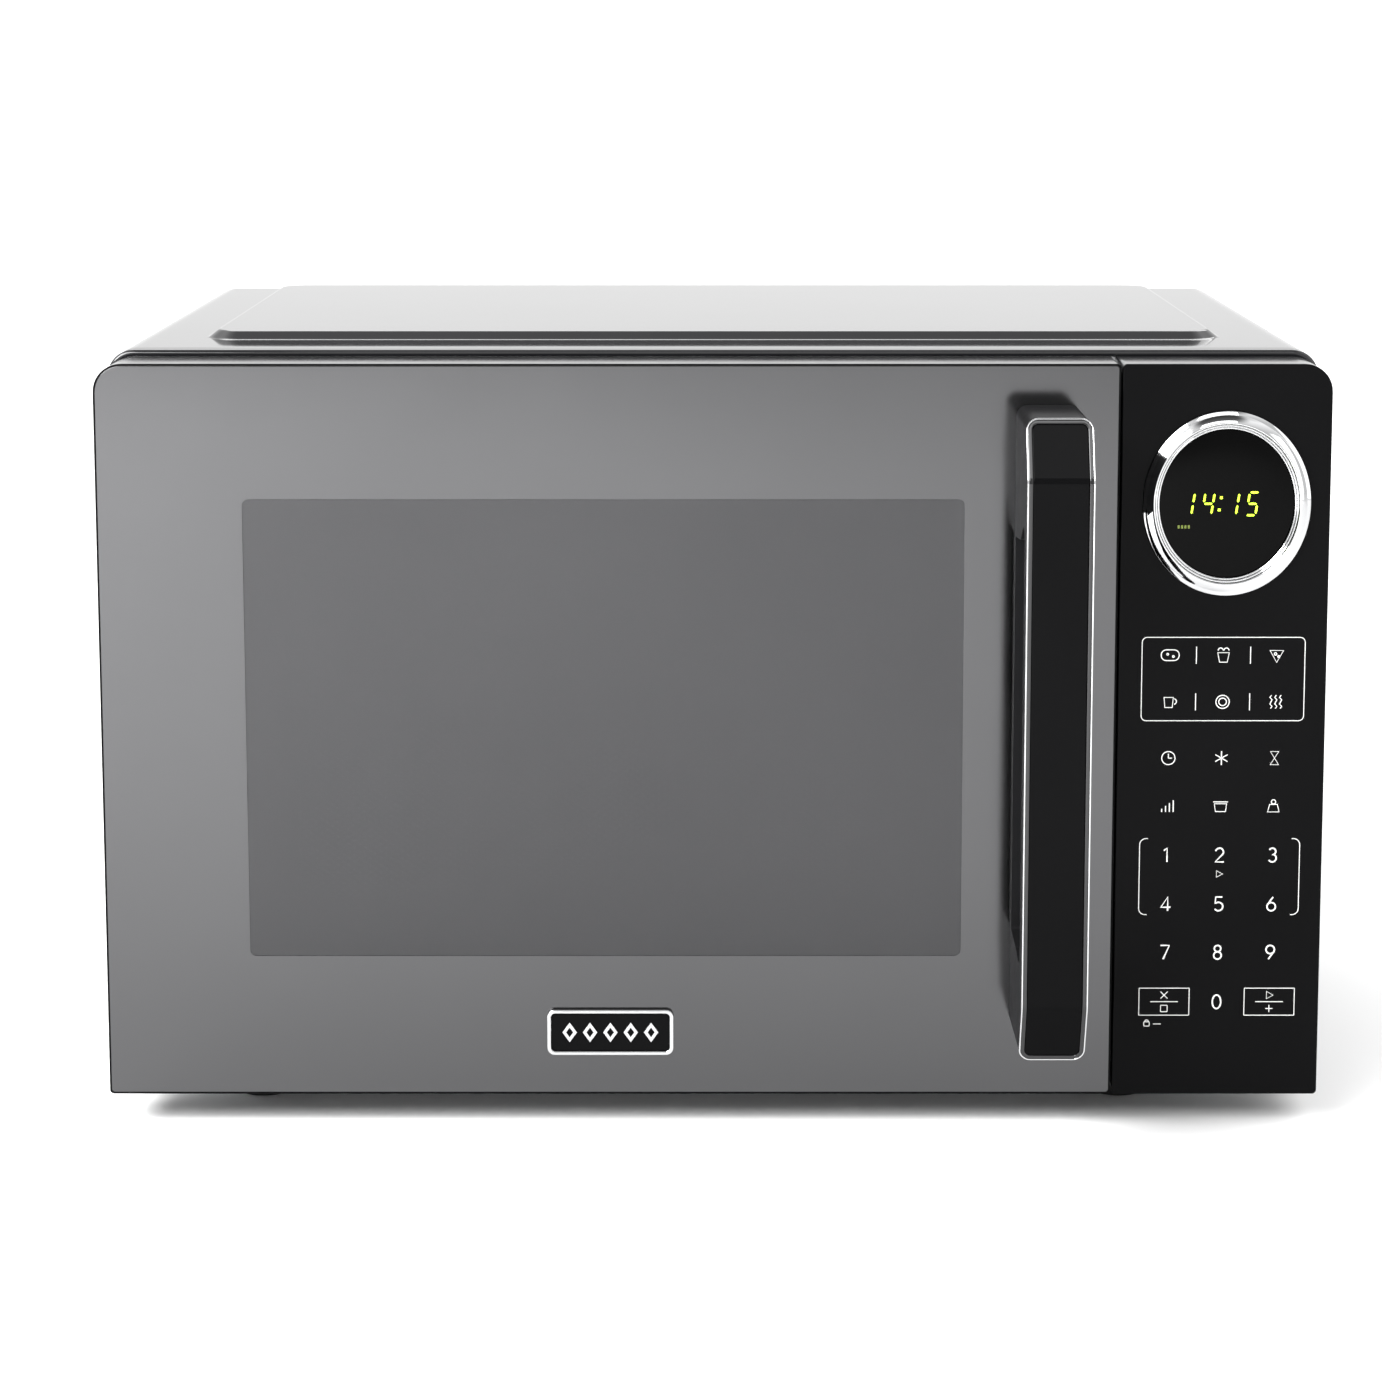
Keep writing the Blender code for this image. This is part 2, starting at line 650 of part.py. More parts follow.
def make_roller_ring():
    axle_z = CAVITY_LOW[1] + GAP + ROLLER_RADIUS
    section = [(0.079, 0.0022), (0.084, 0.0022), (0.084, -0.0022), (0.079, -0.0022)]
    ring = turned("roller_ring", section, (TABLE_X, TABLE_Y, axle_z), steps=36, ring=True)
    for index, angle in enumerate(roller_angles()):
        bm = bmesh.new()
        bmesh.ops.create_cone(
            bm, cap_ends=True, segments=12, radius1=0.0019, radius2=0.0019, depth=0.014)
        centre = (
            TABLE_X + 0.0895 * math.cos(angle), TABLE_Y + 0.0895 * math.sin(angle), axle_z)
        axle = add_object(
            f"axle_{index}", mesh_from(bm, "axle"), centre, (0, QUARTER, angle), tool=True)
        join(ring, axle)
    finish(ring, WHITE_PLASTIC)
    wheel = [
        (0.0022, 0.003), (ROLLER_RADIUS - 0.0006, 0.003), (ROLLER_RADIUS, 0.0024),
        (ROLLER_RADIUS, -0.0024), (ROLLER_RADIUS - 0.0006, -0.003), (0.0022, -0.003)]
    for index, angle in enumerate(roller_angles()):
        centre = (
            TABLE_X + ROLLER_CIRCLE * math.cos(angle),
            TABLE_Y + ROLLER_CIRCLE * math.sin(angle), axle_z)
        roller = turned(
            f"roller_{index + 1}", wheel, centre, (0, QUARTER, angle), 18, ring=True)
        finish(roller, WHITE_PLASTIC, smooth=True)


# ---------------------------------------------------------------- door

DOOR_LOW = (-HALF_WIDTH, FACE_BOTTOM)
DOOR_HIGH = (DOOR_RIGHT, FACE_TOP)


def door_outline(inset):
    low, high = shrunk(DOOR_LOW, DOOR_HIGH, inset)
    small = max(0.0015 - inset / 2, 0.0005)
    return rounded(low, high, (small, small, small, FACE_CORNER - inset))


def window_outline(grow=0.0):
    low, high = shrunk(WINDOW_LOW, WINDOW_HIGH, -grow)
    return rounded(low, high, (0.004 + grow,) * 4, 3)


def hinge_notches(name, deep=0.0):
    """Room beside the hinge pins for the fixed arms while the door turns."""
    notches = []
    for z_low, z_high in ((0.019 - deep, 0.027), (0.2635, 0.2715 + deep)):
        notches.append(((-0.222, -0.126, z_low), (-0.204, -0.1025, z_high)))
    return boxes(name, notches)


def make_door_frame():
    frame = plate("door_frame", [door_outline(0)], (FACE, FACE_REAR))
    glass_seat = plate("glass_seat", [door_outline(0.0012)], (FACE - 0.004, FACE + 0.0034), tool=True)
    pocket = plate("door_pocket", [door_outline(0.0025)], (-0.1284, FACE_REAR + 0.004), tool=True)
    window = plate("door_window", [window_outline()], (FACE - 0.004, FACE_REAR), tool=True)
    pin_holes = [
        cylinder("lower_pin_hole", (HINGE_X, HINGE_Y, 0.014), "Z", 0.0022, 0.008, 16, tool=True),
        cylinder("upper_pin_hole", (HINGE_X, HINGE_Y, 0.2746), "Z", 0.0022, 0.008, 16, tool=True)]
    cut(frame, glass_seat, pocket, window, hinge_notches("frame_notches"), *pin_holes)
    return finish(frame, BLACK_PLASTIC)


def make_door_glass():
    glass = plate("door_glass", [door_outline(0.0015)], (FACE, FACE + 0.0031))
    return finish(glass, MIRROR_GLASS)


def make_choke_frame():
    pan = plate("choke_frame", [door_outline(0.0030)], (-0.1280, -0.1080))
    inside = plate("choke_inside", [door_outline(0.0042)], (-0.1268, -0.1070), tool=True)
    window = plate("choke_window", [window_outline()], (-0.1300, -0.1060), tool=True)
    return finish(cut(pan, inside, window, hinge_notches("choke_notches", 0.005)), STEEL)


def make_door_screen():
    low, high = shrunk(WINDOW_LOW, WINDOW_HIGH, -0.006)
    screen = box("door_screen", (low[0], -0.1264, low[1]), (high[0], -0.1256, high[1]))
    return finish(screen, STEEL)


def make_choke_cover():
    outline = rounded((-0.213, 0.0148), (0.142, 0.2764), (0.001, 0.001, 0.001, 0.007))
    cover = plate("choke_cover", [outline, window_outline(0.008)], (-0.1070, -0.1035))
    cut(cover, latch_slots("cover_latch_slots", (-0.110, -0.100)))
    return finish(cut(cover, hinge_notches("cover_notches")), BLACK_PLASTIC)


def make_inner_window():
    window = plate("inner_window", [window_outline(0.0076)], (-0.1064, -0.1044))
    return finish(window, CLEAR_PLASTIC)


def make_hinges():
    """Fixed arms that reach forward into the door and carry its pins."""
    for name, arm, tab, pin_z in (
            ("lower_hinge", (0.0215, 0.0240), (0.0215, 0.0600), (0.0100, 0.0230)),
            ("upper_hinge", (0.2660, 0.2685), (0.2300, 0.2685), (0.2670, 0.2782))):
        hinge = box(
            name, (HINGE_X - 0.004, HINGE_Y - 0.0045, arm[0]), (HINGE_X + 0.004, -0.0988, arm[1]))
        join(
            hinge,
            box(f"{name}_tab", (-0.2170, -0.1003, tab[0]), (-0.1940, -0.0988, tab[1]), tool=True),
            cylinder(f"{name}_pin", (HINGE_X, HINGE_Y, sum(pin_z) / 2), "Z", 0.0016,
                     pin_z[1] - pin_z[0], 16, tool=True))
        finish(hinge, STEEL)


def make_latch():
    bar = box("latch_hooks", (HOOK_X - 0.0035, -0.1210, 0.0640), (HOOK_X + 0.0035, -0.1130, 0.2280))
    arms = []
    for z in HOOK_HEIGHTS:
        arms.append(((HOOK_X - 0.002, -0.1135, z - 0.006), (HOOK_X + 0.002, -0.0882, z + 0.006)))
    barbs = [
        ((HOOK_X - 0.002, -0.0942, z - 0.0098), (HOOK_X + 0.002, -0.0882, z - 0.0055))
        for z in HOOK_HEIGHTS]
    join(bar, boxes("hook_arms", arms), boxes("hook_barbs", barbs))
    finish(bar, WHITE_PLASTIC)

    radius, bottom, top, per_turn = 0.0030, 0.2290, 0.2450, 10
    curve = bpy.data.curves.new("latch_spring_coil", "CURVE")
    curve.dimensions = "3D"
    curve.bevel_depth = 0.0005
    curve.bevel_resolution = 2
    curve.use_fill_caps = True
    coil = curve.splines.new("POLY")
    count = SPRING_TURNS * per_turn
    coil.points.add(count)
    for step, point in enumerate(coil.points):
        angle = 2 * math.pi * step / per_turn
        height = bottom + (top - bottom) * step / count
        point.co = (
            HOOK_X + radius * math.cos(angle), -0.1170 + radius * math.sin(angle), height, 1)
    return finish(solid_from_curve("latch_spring", curve), STEEL, smooth=True)


def handle_side(inset=0.0):
    """Side view of the handle as (y, z): a bar with both ends leaning back to the door."""
    return [
        (HANDLE_BASE, 0.0375 + inset), (-0.1780, 0.0375 + inset), (HANDLE_FRONT, 0.0585),
        (HANDLE_FRONT, 0.2443), (-0.1780, 0.2649 - inset), (HANDLE_BASE, 0.2649 - inset)]


def finger_gap():
    return [
        (-0.1378, 0.0840), (-0.1600, 0.0820), (-0.1765, 0.0720), (-0.1765, 0.2300),
        (-0.1600, 0.2200), (-0.1378, 0.2180)]


def insert_solid(name, half_width, depth, ends, proud, tool=False):
    """A three-facet slab that follows the handle's front, for the insert and for its seat."""
    front = HANDLE_FRONT - proud
    back = front + depth
    lean = (0.0585 - 0.0375) / (-0.1780 - HANDLE_FRONT)
    low, high = 0.0375 + ends, 0.2649 - ends
    reach_low = (0.0585 - low) / lean
    reach_high = (high - 0.2443) / lean
    outline = [
        (front + reach_low, low), (front, 0.0585), (front, 0.2443), (front + reach_high, high),
        (back + reach_high, high), (back, 0.2443), (back, 0.0585), (back + reach_low, low)]
    span = (HANDLE_X - half_width, HANDLE_X + half_width)
    return plate(name, [outline], span, "X", tool)


def make_handle():
    span = (HANDLE_X - HANDLE_WIDTH / 2, HANDLE_X + HANDLE_WIDTH / 2)
    frame = plate("handle_frame", [handle_side(), finger_gap()], span, "X")
    half = HANDLE_WIDTH / 2 - 0.0019
    cut(frame, insert_solid("insert_seat", half, 0.0040, 0.0020, 0.0020, tool=True))
    finish(frame, CHROME)
    insert = insert_solid("handle_insert", half - GAP, 0.0015, 0.0024, 0.0)
    return finish(insert, GLOSS_BLACK)


def make_badge():
    low, high = (-0.0603, 0.0271), (-0.0143, 0.0441)
    hole = rounded(*shrunk(low, high, 0.0015), (0.0016,) * 4, 3)
    frame = plate(
        "badge_frame", [rounded(low, high, (0.0028,) * 4, 4), hole], (FACE - 0.0022, FACE - GAP))
    finish(frame, CHROME)
    face = rounded(*shrunk(low, high, 0.0018), (0.0014,) * 4, 3)
    return finish(plate("badge_plate", [face], (FACE - 0.0012, FACE - GAP)), GLOSS_BLACK)


# ---------------------------------------------------------------- controls

PANEL_LOW = (PANEL_LEFT, FACE_BOTTOM)
PANEL_HIGH = (HALF_WIDTH, FACE_TOP)


def panel_outline(inset):
    low, high = shrunk(PANEL_LOW, PANEL_HIGH, inset)
    small = max(0.0015 - inset / 2, 0.0005)
    return rounded(low, high, (small, small, FACE_CORNER - inset, small))


def make_control_panel():
    panel = plate("control_panel", [panel_outline(0)], (FACE, -0.1035))
    back = plate("panel_back", [panel_outline(0.0022)], (-0.1308, -0.1000), tool=True)
    seat = plate("overlay_seat", [panel_outline(0.0014)], (-0.1360, -0.1331), tool=True)
    display_hole = box(
        "display_hole", (RING_X - 0.020, -0.140, RING_Z - 0.012),
        (RING_X + 0.020, -0.125, RING_Z + 0.012), tool=True)
    finish(cut(panel, back, seat, display_hole), BLACK_PLASTIC)
    window = rounded(
        (RING_X - 0.020, RING_Z - 0.012), (RING_X + 0.020, RING_Z + 0.012), (0.001,) * 4, 1)
    overlay = plate("keypad_overlay", [panel_outline(0.0017), window], (-0.1340, -0.1334))
    return finish(overlay, GLOSS_BLACK)


def make_display():
    section = [
        (0.0256, 0.0024), (0.0272, 0.0031), (0.0288, 0.0026), (0.0300, 0.0010),
        (0.0300, 0), (0.0240, 0), (0.0240, 0.0016)]
    place = (RING_X, FACE - GAP, RING_Z)
    ring = turned("display_ring", section, place, (QUARTER, 0, 0), 40, ring=True)
    ring.scale = (1, RING_STRETCH, 1)
    finish(ring, CHROME, smooth=True)
    lens_outline = oval((RING_X, RING_Z), 0.0237, 0.0237 * RING_STRETCH, 40)
    finish(plate("display_lens", [lens_outline], (FACE - 0.0014, FACE - GAP)), DARK_LENS)
    module = box(
        "display_module", (RING_X - 0.023, -0.1304, RING_Z - 0.0135),
        (RING_X + 0.023, -0.1163, RING_Z + 0.0135))
    finish(module, DARK_LENS)


def make_control_board():
    board = box("control_board", (0.1500, -0.1160, 0.030), (0.2160, -0.1144, 0.262))
    join(board, boxes("board_parts", [
        ((0.158, -0.1150, 0.044), (0.198, -0.0840, 0.080)),
        ((0.160, -0.1150, 0.096), (0.180, -0.0980, 0.112)),
        ((0.190, -0.1150, 0.096), (0.210, -0.0980, 0.112)),
        ((0.166, -0.1150, 0.150), (0.196, -0.1100, 0.162))]))
    return finish(board, CIRCUIT)


# ---------------------------------------------------------------- joints

def group_moving_parts():
    """Parent each moving piece to an empty on its joint's axis."""
    find = bpy.data.objects
    door = joint_empty("door_axis", (HINGE_X, HINGE_Y, 0))
    carry(door, [find[name] for name in (
        "door_frame", "door_glass", "choke_frame", "door_screen", "choke_cover", "inner_window",
        "handle_frame", "handle_insert", "badge_frame", "badge_plate", "latch_hooks",
        "latch_spring")])
    table = joint_empty("turntable_axis", (TABLE_X, TABLE_Y, CAVITY_LOW[1]))
    carry(table, [find["turntable_coupler"]])


clear_scene()
PARTS = new_collection("microwave_oven")
CUTTERS = new_collection("cutters")
GLAND_PLACE = (0.190, 0.0262)

PAINT = material("black_painted_steel", (0.022, 0.022, 0.024), 0.25)
STEEL = material("zinc_plated_steel", (0.60, 0.61, 0.62), 0.38, 1.0)
ENAMEL = material("grey_cavity_enamel", (0.40, 0.41, 0.42), 0.45)
BLACK_PLASTIC = material("black_plastic", (0.015, 0.015, 0.016), 0.35)
GLOSS_BLACK = material("gloss_black_plastic", (0.008, 0.008, 0.009), 0.10)
GREY_PLASTIC = material("grey_plastic", (0.30, 0.31, 0.32), 0.45)
WHITE_PLASTIC = material("white_plastic", (0.78, 0.78, 0.75), 0.45)
CLEAR_PLASTIC = material("clear_plastic", (0.80, 0.82, 0.83), 0.15, alpha=0.5)
RED_PLASTIC = material("red_plastic", (0.60, 0.05, 0.04), 0.40)
MIRROR_GLASS = material("mirrored_glass", (0.20, 0.20, 0.21), 0.08, 0.8)
GLASS = material("clear_glass", (0.85, 0.90, 0.90), 0.05, alpha=0.4)
DARK_LENS = material("dark_lens", (0.006, 0.006, 0.006), 0.06)
CHROME = material("chrome", (0.80, 0.80, 0.81), 0.08, 1.0)
RUBBER = material("black_rubber", (0.02, 0.02, 0.02), 0.80)
ALUMINIUM = material("aluminium", (0.72, 0.73, 0.74), 0.35, 1.0)
LAMINATION = material("steel_lamination", (0.25, 0.25, 0.26), 0.50, 0.8)
COPPER = material("enamelled_copper", (0.62, 0.26, 0.12), 0.35, 0.7)
MICA = material("mica", (0.62, 0.56, 0.45), 0.60)
CIRCUIT = material("circuit_board", (0.10, 0.28, 0.12), 0.50)

make_outer_cover()
make_rear_panel()
make_base_plate()
make_feet()
make_cover_screws()
make_cord_gland()
make_front_frame()
make_cavity_box()
make_mica_cover()
make_waveguide()
make_magnetron()
make_transformer()
make_hv_capacitor()
make_hv_diode()
make_fan()
make_lamp()
make_filter_board()
make_latch_bracket()
make_interlocks()
make_turntable_motor()
make_coupler()
make_tray()
make_roller_ring()
make_door_frame()
make_door_glass()
make_choke_frame()
make_door_screen()
make_choke_cover()
make_inner_window()
make_hinges()
make_latch()
make_handle()
make_badge()
make_control_panel()
make_display()
make_control_board()
group_moving_parts()
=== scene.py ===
"""Looks for the microwave oven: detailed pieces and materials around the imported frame.

Metres, +Z up, the door and control panel face -Y. Places come from the CAD nodes' boxes.
"""
import json
import math

import bmesh
import bpy
from mathutils import Matrix, Vector


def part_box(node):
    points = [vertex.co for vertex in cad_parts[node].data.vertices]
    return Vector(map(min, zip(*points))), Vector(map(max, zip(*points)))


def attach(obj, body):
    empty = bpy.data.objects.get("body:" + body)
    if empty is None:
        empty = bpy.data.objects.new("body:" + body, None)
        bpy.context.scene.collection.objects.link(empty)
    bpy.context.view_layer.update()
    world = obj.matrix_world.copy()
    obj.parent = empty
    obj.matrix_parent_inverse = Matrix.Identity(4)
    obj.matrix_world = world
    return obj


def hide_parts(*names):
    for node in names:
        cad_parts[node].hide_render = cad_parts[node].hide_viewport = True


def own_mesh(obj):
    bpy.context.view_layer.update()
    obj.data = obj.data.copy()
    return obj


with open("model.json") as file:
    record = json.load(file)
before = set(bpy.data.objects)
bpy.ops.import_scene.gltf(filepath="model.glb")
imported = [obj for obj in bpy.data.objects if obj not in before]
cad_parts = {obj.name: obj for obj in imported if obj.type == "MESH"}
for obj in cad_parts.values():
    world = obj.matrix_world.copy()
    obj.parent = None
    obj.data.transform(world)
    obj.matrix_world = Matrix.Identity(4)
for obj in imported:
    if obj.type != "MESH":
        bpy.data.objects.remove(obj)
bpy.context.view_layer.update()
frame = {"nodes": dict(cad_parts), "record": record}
NODES = frame["nodes"]

QUARTER = math.pi / 2
FACING = {"X": (QUARTER, 0, QUARTER), "Y": (QUARTER, 0, 0), "Z": (0, 0, 0)}

DOOR_LOW, DOOR_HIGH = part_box("door_frame")
PANEL_LOW, PANEL_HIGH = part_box("control_panel")
COVER_LOW, COVER_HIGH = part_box("outer_cover")
HANDLE_LOW, HANDLE_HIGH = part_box("handle_frame")
RING_LOW, RING_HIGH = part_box("display_ring")
FACE = DOOR_LOW[1]
FACE_CORNER = 0.010
# The middle of the round display, as (x, z)
DISPLAY = tuple((RING_LOW[axis] + RING_HIGH[axis]) / 2 for axis in (0, 2))

# The panel pressed up in the cover's top: its foot's level, half width, ends, corners and slope
PAD_LEVEL = 0.2814
PAD_HALF_X = 0.190
PAD_Y = (-0.063, 0.170)
PAD_CORNER = 0.014
PAD_SLOPE = 0.0038

# Heights of the hinge arms, which the door's wall leaves room for
HINGE_ARMS = (0.02275, 0.26725)

# Window in the door glass, measured from the door's lower left corner
WINDOW_INSET = (0.0523, 0.0519)
WINDOW_SIZE = (0.2574, 0.1668)
WINDOW_CORNER = 0.0022
HOLE_ZONE = (0.2214, 0.1297)
HOLE_ZONE_RISE = 0.0018
HOLE_PITCH = (0.003864, 0.002651)
HOLE_RADIUS = 0.00078

# Handle: where its front bends back to the end facets, and how far these lean
BENDS = (HANDLE_LOW[2] + 0.0210, HANDLE_HIGH[2] - 0.0206)
FACET_LEAN = 0.010 / 0.0208

# Keypad, in tenths of a millimetre from the display's centre line and the panel's top edge
KEY_UNIT = 0.0001
COLUMN_PITCH = 191
ICON_ROWS = (1047, 1217, 1423, 1600)
NUMBER_ROWS = (1780, 1961, 2141)
ZERO_ROW = 2326

# Boxy CAD nodes that stay, by the width of their rounded edges
EDGE_WIDTHS = {
    0.0006: ("choke_cover", "fan_shroud", "hv_capacitor", "turntable_coupler", "transformer_core"),
    0.0005: ("latch_hooks", "lamp_holder", "upper_switch", "lower_switch"),
    0.0003: ("latch_bracket", "upper_plunger", "lower_plunger", "upper_hinge", "lower_hinge", "front_frame")}


# ------------------------------------------------------------------ shapes

def mesh_object(name, mesh, location=(0, 0, 0), rotation=(0, 0, 0)):
    thing = bpy.data.objects.new(name, mesh)
    thing.location = location
    thing.rotation_euler = rotation
    bpy.context.scene.collection.objects.link(thing)
    return thing


def from_bmesh(name, bm, location=(0, 0, 0), rotation=(0, 0, 0)):
    mesh = bpy.data.meshes.new(name)
    bm.to_mesh(mesh)
    bm.free()
    return mesh_object(name, mesh, location, rotation)


def middle_of(low, high):
    return tuple((a + b) / 2 for a, b in zip(low, high))


def smooth(thing, angle=40, weighted=True):
    """Smooth shading that keeps flat faces flat."""
    thing.data.shade_smooth()
    thing.data.set_sharp_from_angle(angle=math.radians(angle))
    if weighted:
        modifier = thing.modifiers.new("flat_faces", "WEIGHTED_NORMAL")
        modifier.keep_sharp = True
    return thing


def rounded(low, high, radii, steps=8):
    """Outline of a rectangle; radii is one, or bottom-left, bottom-right, top-right, top-left."""
    radii = radii if isinstance(radii, tuple) else (radii,) * 4
    corners = [
        (low[0], low[1], 1, 1, 180), (high[0], low[1], -1, 1, 270),
        (high[0], high[1], -1, -1, 0), (low[0], high[1], 1, -1, 90)]
    points = []
    for (u, v, inward_u, inward_v, start), radius in zip(corners, radii):
        count = steps if radius > 0 else 0
        for step in range(count + 1):
            angle = math.radians(start + 90 * step / max(count, 1))
            points.append((
                u + inward_u * radius + radius * math.cos(angle),
                v + inward_v * radius + radius * math.sin(angle)))
    return points


def centred(middle, half_u, half_v, radii, steps=8):
    low, high = (middle[0] - half_u, middle[1] - half_v), (middle[0] + half_u, middle[1] + half_v)
    return rounded(low, high, radii, steps)


def front_view(low, high, inset, radii, steps=8):
    """The outline of a box as seen from the front, drawn in by the inset."""
    return rounded((low[0] + inset, low[2] + inset), (high[0] - inset, high[2] - inset), radii, steps)


def filleted(points, radius, steps):
    """The outline with its corners rounded, by one radius or by one for each point."""
    radii = radius if isinstance(radius, tuple) else (radius,) * len(points)
    result = []
    for index, corner in enumerate(points):
        corner = Vector(corner)
        back = (Vector(points[index - 1]) - corner).normalized()
        ahead = (Vector(points[(index + 1) % len(points)]) - corner).normalized()
        reach = radii[index] / math.tan(back.angle(ahead) / 2)
        for step in range(steps + 1):
            share = step / steps
            point = corner + back * reach * (1 - share) ** 2 + ahead * reach * share ** 2
            result.append((point.x, point.y))
    return result


def stadium(centre, length, width, upright=False, steps=8):
    halves = (width / 2, length / 2) if upright else (length / 2, width / 2)
    return centred(centre, *halves, width / 2, steps)


def oval(centre, half_u, half_v, steps=64):
    turns = [2 * math.pi * step / steps for step in range(steps)]
    return [(centre[0] + half_u * math.cos(a), centre[1] + half_v * math.sin(a)) for a in turns]


def clean_mesh(thing, location, rotation):
    """The evaluated shape of a curve or text object as a welded mesh, with its place applied."""
    bpy.context.scene.collection.objects.link(thing)
    thing.location = location
    thing.rotation_euler = rotation
    bpy.context.view_layer.update()
    evaluated = thing.evaluated_get(bpy.context.evaluated_depsgraph_get())
    mesh = bpy.data.meshes.new_from_object(evaluated)
    mesh.transform(thing.matrix_world)
    bm = bmesh.new()
    bm.from_mesh(mesh)
    bmesh.ops.remove_doubles(bm, verts=bm.verts, dist=1e-6)
    bmesh.ops.dissolve_degenerate(bm, edges=bm.edges, dist=1e-7)
    bmesh.ops.recalc_face_normals(bm, faces=bm.faces)
    bm.to_mesh(mesh)
    bm.free()
    mesh.materials.clear()
    bpy.data.objects.remove(thing)
    return mesh


def plate_mesh(name, outlines, span, facing="Y", edge=0.0, steps=2):
    """Flat outlines, the first the outside and the rest holes, made thick with rounded edges."""
    curve = bpy.data.curves.new(name, "CURVE")
    curve.dimensions = "2D"
    curve.fill_mode = "BOTH"
    curve.extrude = (span[1] - span[0]) / 2 - edge
    curve.bevel_depth = edge
    curve.bevel_resolution = steps
    curve.offset = -edge
    for points in outlines:
        spline = curve.splines.new("POLY")
        spline.points.add(len(points) - 1)
        for slot, (u, v) in zip(spline.points, points):
            slot.co = (u, v, 0, 1)
        spline.use_cyclic_u = True
    middle = (span[0] + span[1]) / 2
    location = {"X": (middle, 0, 0), "Y": (0, middle, 0), "Z": (0, 0, middle)}[facing]
    return clean_mesh(bpy.data.objects.new(name, curve), location, FACING[facing])


def plate(name, outlines, span, facing="Y", edge=0.0, steps=2):
    thing = mesh_object(name, plate_mesh(name, outlines, span, facing, edge, steps))
    return smooth(thing)


def merged(name, meshes):
    """Several meshes as one object."""
    bm = bmesh.new()
    for mesh in meshes:
        bm.from_mesh(mesh)
        bpy.data.meshes.remove(mesh)
    return from_bmesh(name, bm)


def turned(name, profile, centre, rotation=(0, 0, 0), steps=64, closed=False, stretch=(1, 1)):
    """A profile of (radius, height) points, top first, turned about local Z."""
    bm = bmesh.new()
    rings = []
    for step in range(steps):
        angle = 2 * math.pi * step / steps
        rings.append([
            bm.verts.new((
                radius * math.cos(angle) * stretch[0], radius * math.sin(angle) * stretch[1], height))
            for radius, height in profile])
    last = len(profile) if closed else len(profile) - 1
    for step in range(steps):
        here, there = rings[step], rings[(step + 1) % steps]
        for index in range(last):
            after = (index + 1) % len(profile)
            bm.faces.new((here[index], here[after], there[after], there[index]))
    bmesh.ops.remove_doubles(bm, verts=bm.verts, dist=1e-6)
    bmesh.ops.recalc_face_normals(bm, faces=bm.faces)
    return smooth(from_bmesh(name, bm, centre, rotation), 50, weighted=False)


def arc(centre, radius, start, end, steps=6):
    """Points of an arc, in degrees, for a turned profile."""
    angles = [math.radians(start + (end - start) * n / steps) for n in range(steps + 1)]
    return [(centre[0] + radius * math.cos(a), centre[1] + radius * math.sin(a)) for a in angles]


def wires(name, paths, width, depth=None):
    """Thin round strokes along the paths; depth flattens them along Y."""
    curve = bpy.data.curves.new(name, "CURVE")
    curve.dimensions = "3D"
    curve.bevel_depth = width / 2
    curve.bevel_resolution = 1
    curve.use_fill_caps = True
    for points, closed in paths:
        spline = curve.splines.new("POLY")
        spline.points.add(len(points) - 1)
        for slot, point in zip(spline.points, points):
            slot.co = (*point, 1)
        spline.use_cyclic_u = closed
    mesh = clean_mesh(bpy.data.objects.new(name, curve), (0, 0, 0), (0, 0, 0))
    if depth is not None:
        level = paths[0][0][0][1]
        mesh.transform(
            Matrix.Translation((0, level, 0)) @ Matrix.Diagonal((1, depth / width, 1, 1))
            @ Matrix.Translation((0, -level, 0)))
    return smooth(mesh_object(name, mesh), 60, weighted=False)


def cut(thing, cutter, operation="DIFFERENCE", crossed=False):
    """Take the cutter out of the thing, or keep only what is inside it, and drop the cutter."""
    modifier = thing.modifiers.new("cut", "BOOLEAN")
    modifier.operation = operation
    modifier.solver = "EXACT"
    modifier.use_self = crossed
    modifier.object = cutter
    apply_modifiers(thing)
    bpy.data.objects.remove(cutter)
    return thing


def apply_modifiers(thing):
    bpy.context.view_layer.update()
    evaluated = thing.evaluated_get(bpy.context.evaluated_depsgraph_get())
    mesh = bpy.data.meshes.new_from_object(evaluated)
    thing.modifiers.clear()
    thing.data = mesh
    return thing


def thickened(thing, thickness, offset):
    """An open sheet made solid, inwards with an offset of -1 or both ways with 0."""
    modifier = thing.modifiers.new("sheet", "SOLIDIFY")
    modifier.thickness = thickness
    modifier.offset = offset
    return apply_modifiers(thing)


def bevelled(thing, width):
    """Rounded edges, by a modifier that leaves the thing's own mesh as it is."""
    modifier = thing.modifiers.new("edges", "BEVEL")
    modifier.width = width
    modifier.segments = 2
    modifier.limit_method = "ANGLE"
    modifier.angle_limit = math.radians(35)
    modifier.harden_normals = False
    return smooth(thing, 35)


# ------------------------------------------------------------------ materials

class Nodes:
    """Short ways to add shader nodes to a tree and to join them."""

    def __init__(self, tree):
        self.tree = tree

    def feed(self, socket, value):
        """Link an output to the socket, or set the socket's value."""
        if isinstance(value, bpy.types.NodeSocket):
            self.tree.links.new(value, socket)
        else:
            socket.default_value = value

    def node(self, kind, sockets=None, **settings):
        made = self.tree.nodes.new("ShaderNode" + kind)
        for name, value in settings.items():
            setattr(made, name, value)
        for name, value in (sockets or {}).items():
            self.feed(made.inputs[name], value)
        return made

    def mapped(self, source, low, high, start=0.3, end=0.7, **settings):
        """The source's stretch from start to end, brought to low and high."""
        sockets = {"Value": source, "From Min": start, "From Max": end, "To Min": low, "To Max": high}
        return self.node("MapRange", sockets, **settings).outputs["Result"]

    def ramp(self, source, stops):
        """Colours at places along 0 to 1."""
        ramp = self.node("ValToRGB", {"Fac": source})
        band = ramp.color_ramp
        while len(band.elements) < len(stops):
            band.elements.new(0.5)
        for element, (place, colour) in zip(band.elements, stops):
            element.position = place
            element.color = (*colour, 1)
        return ramp.outputs["Color"]


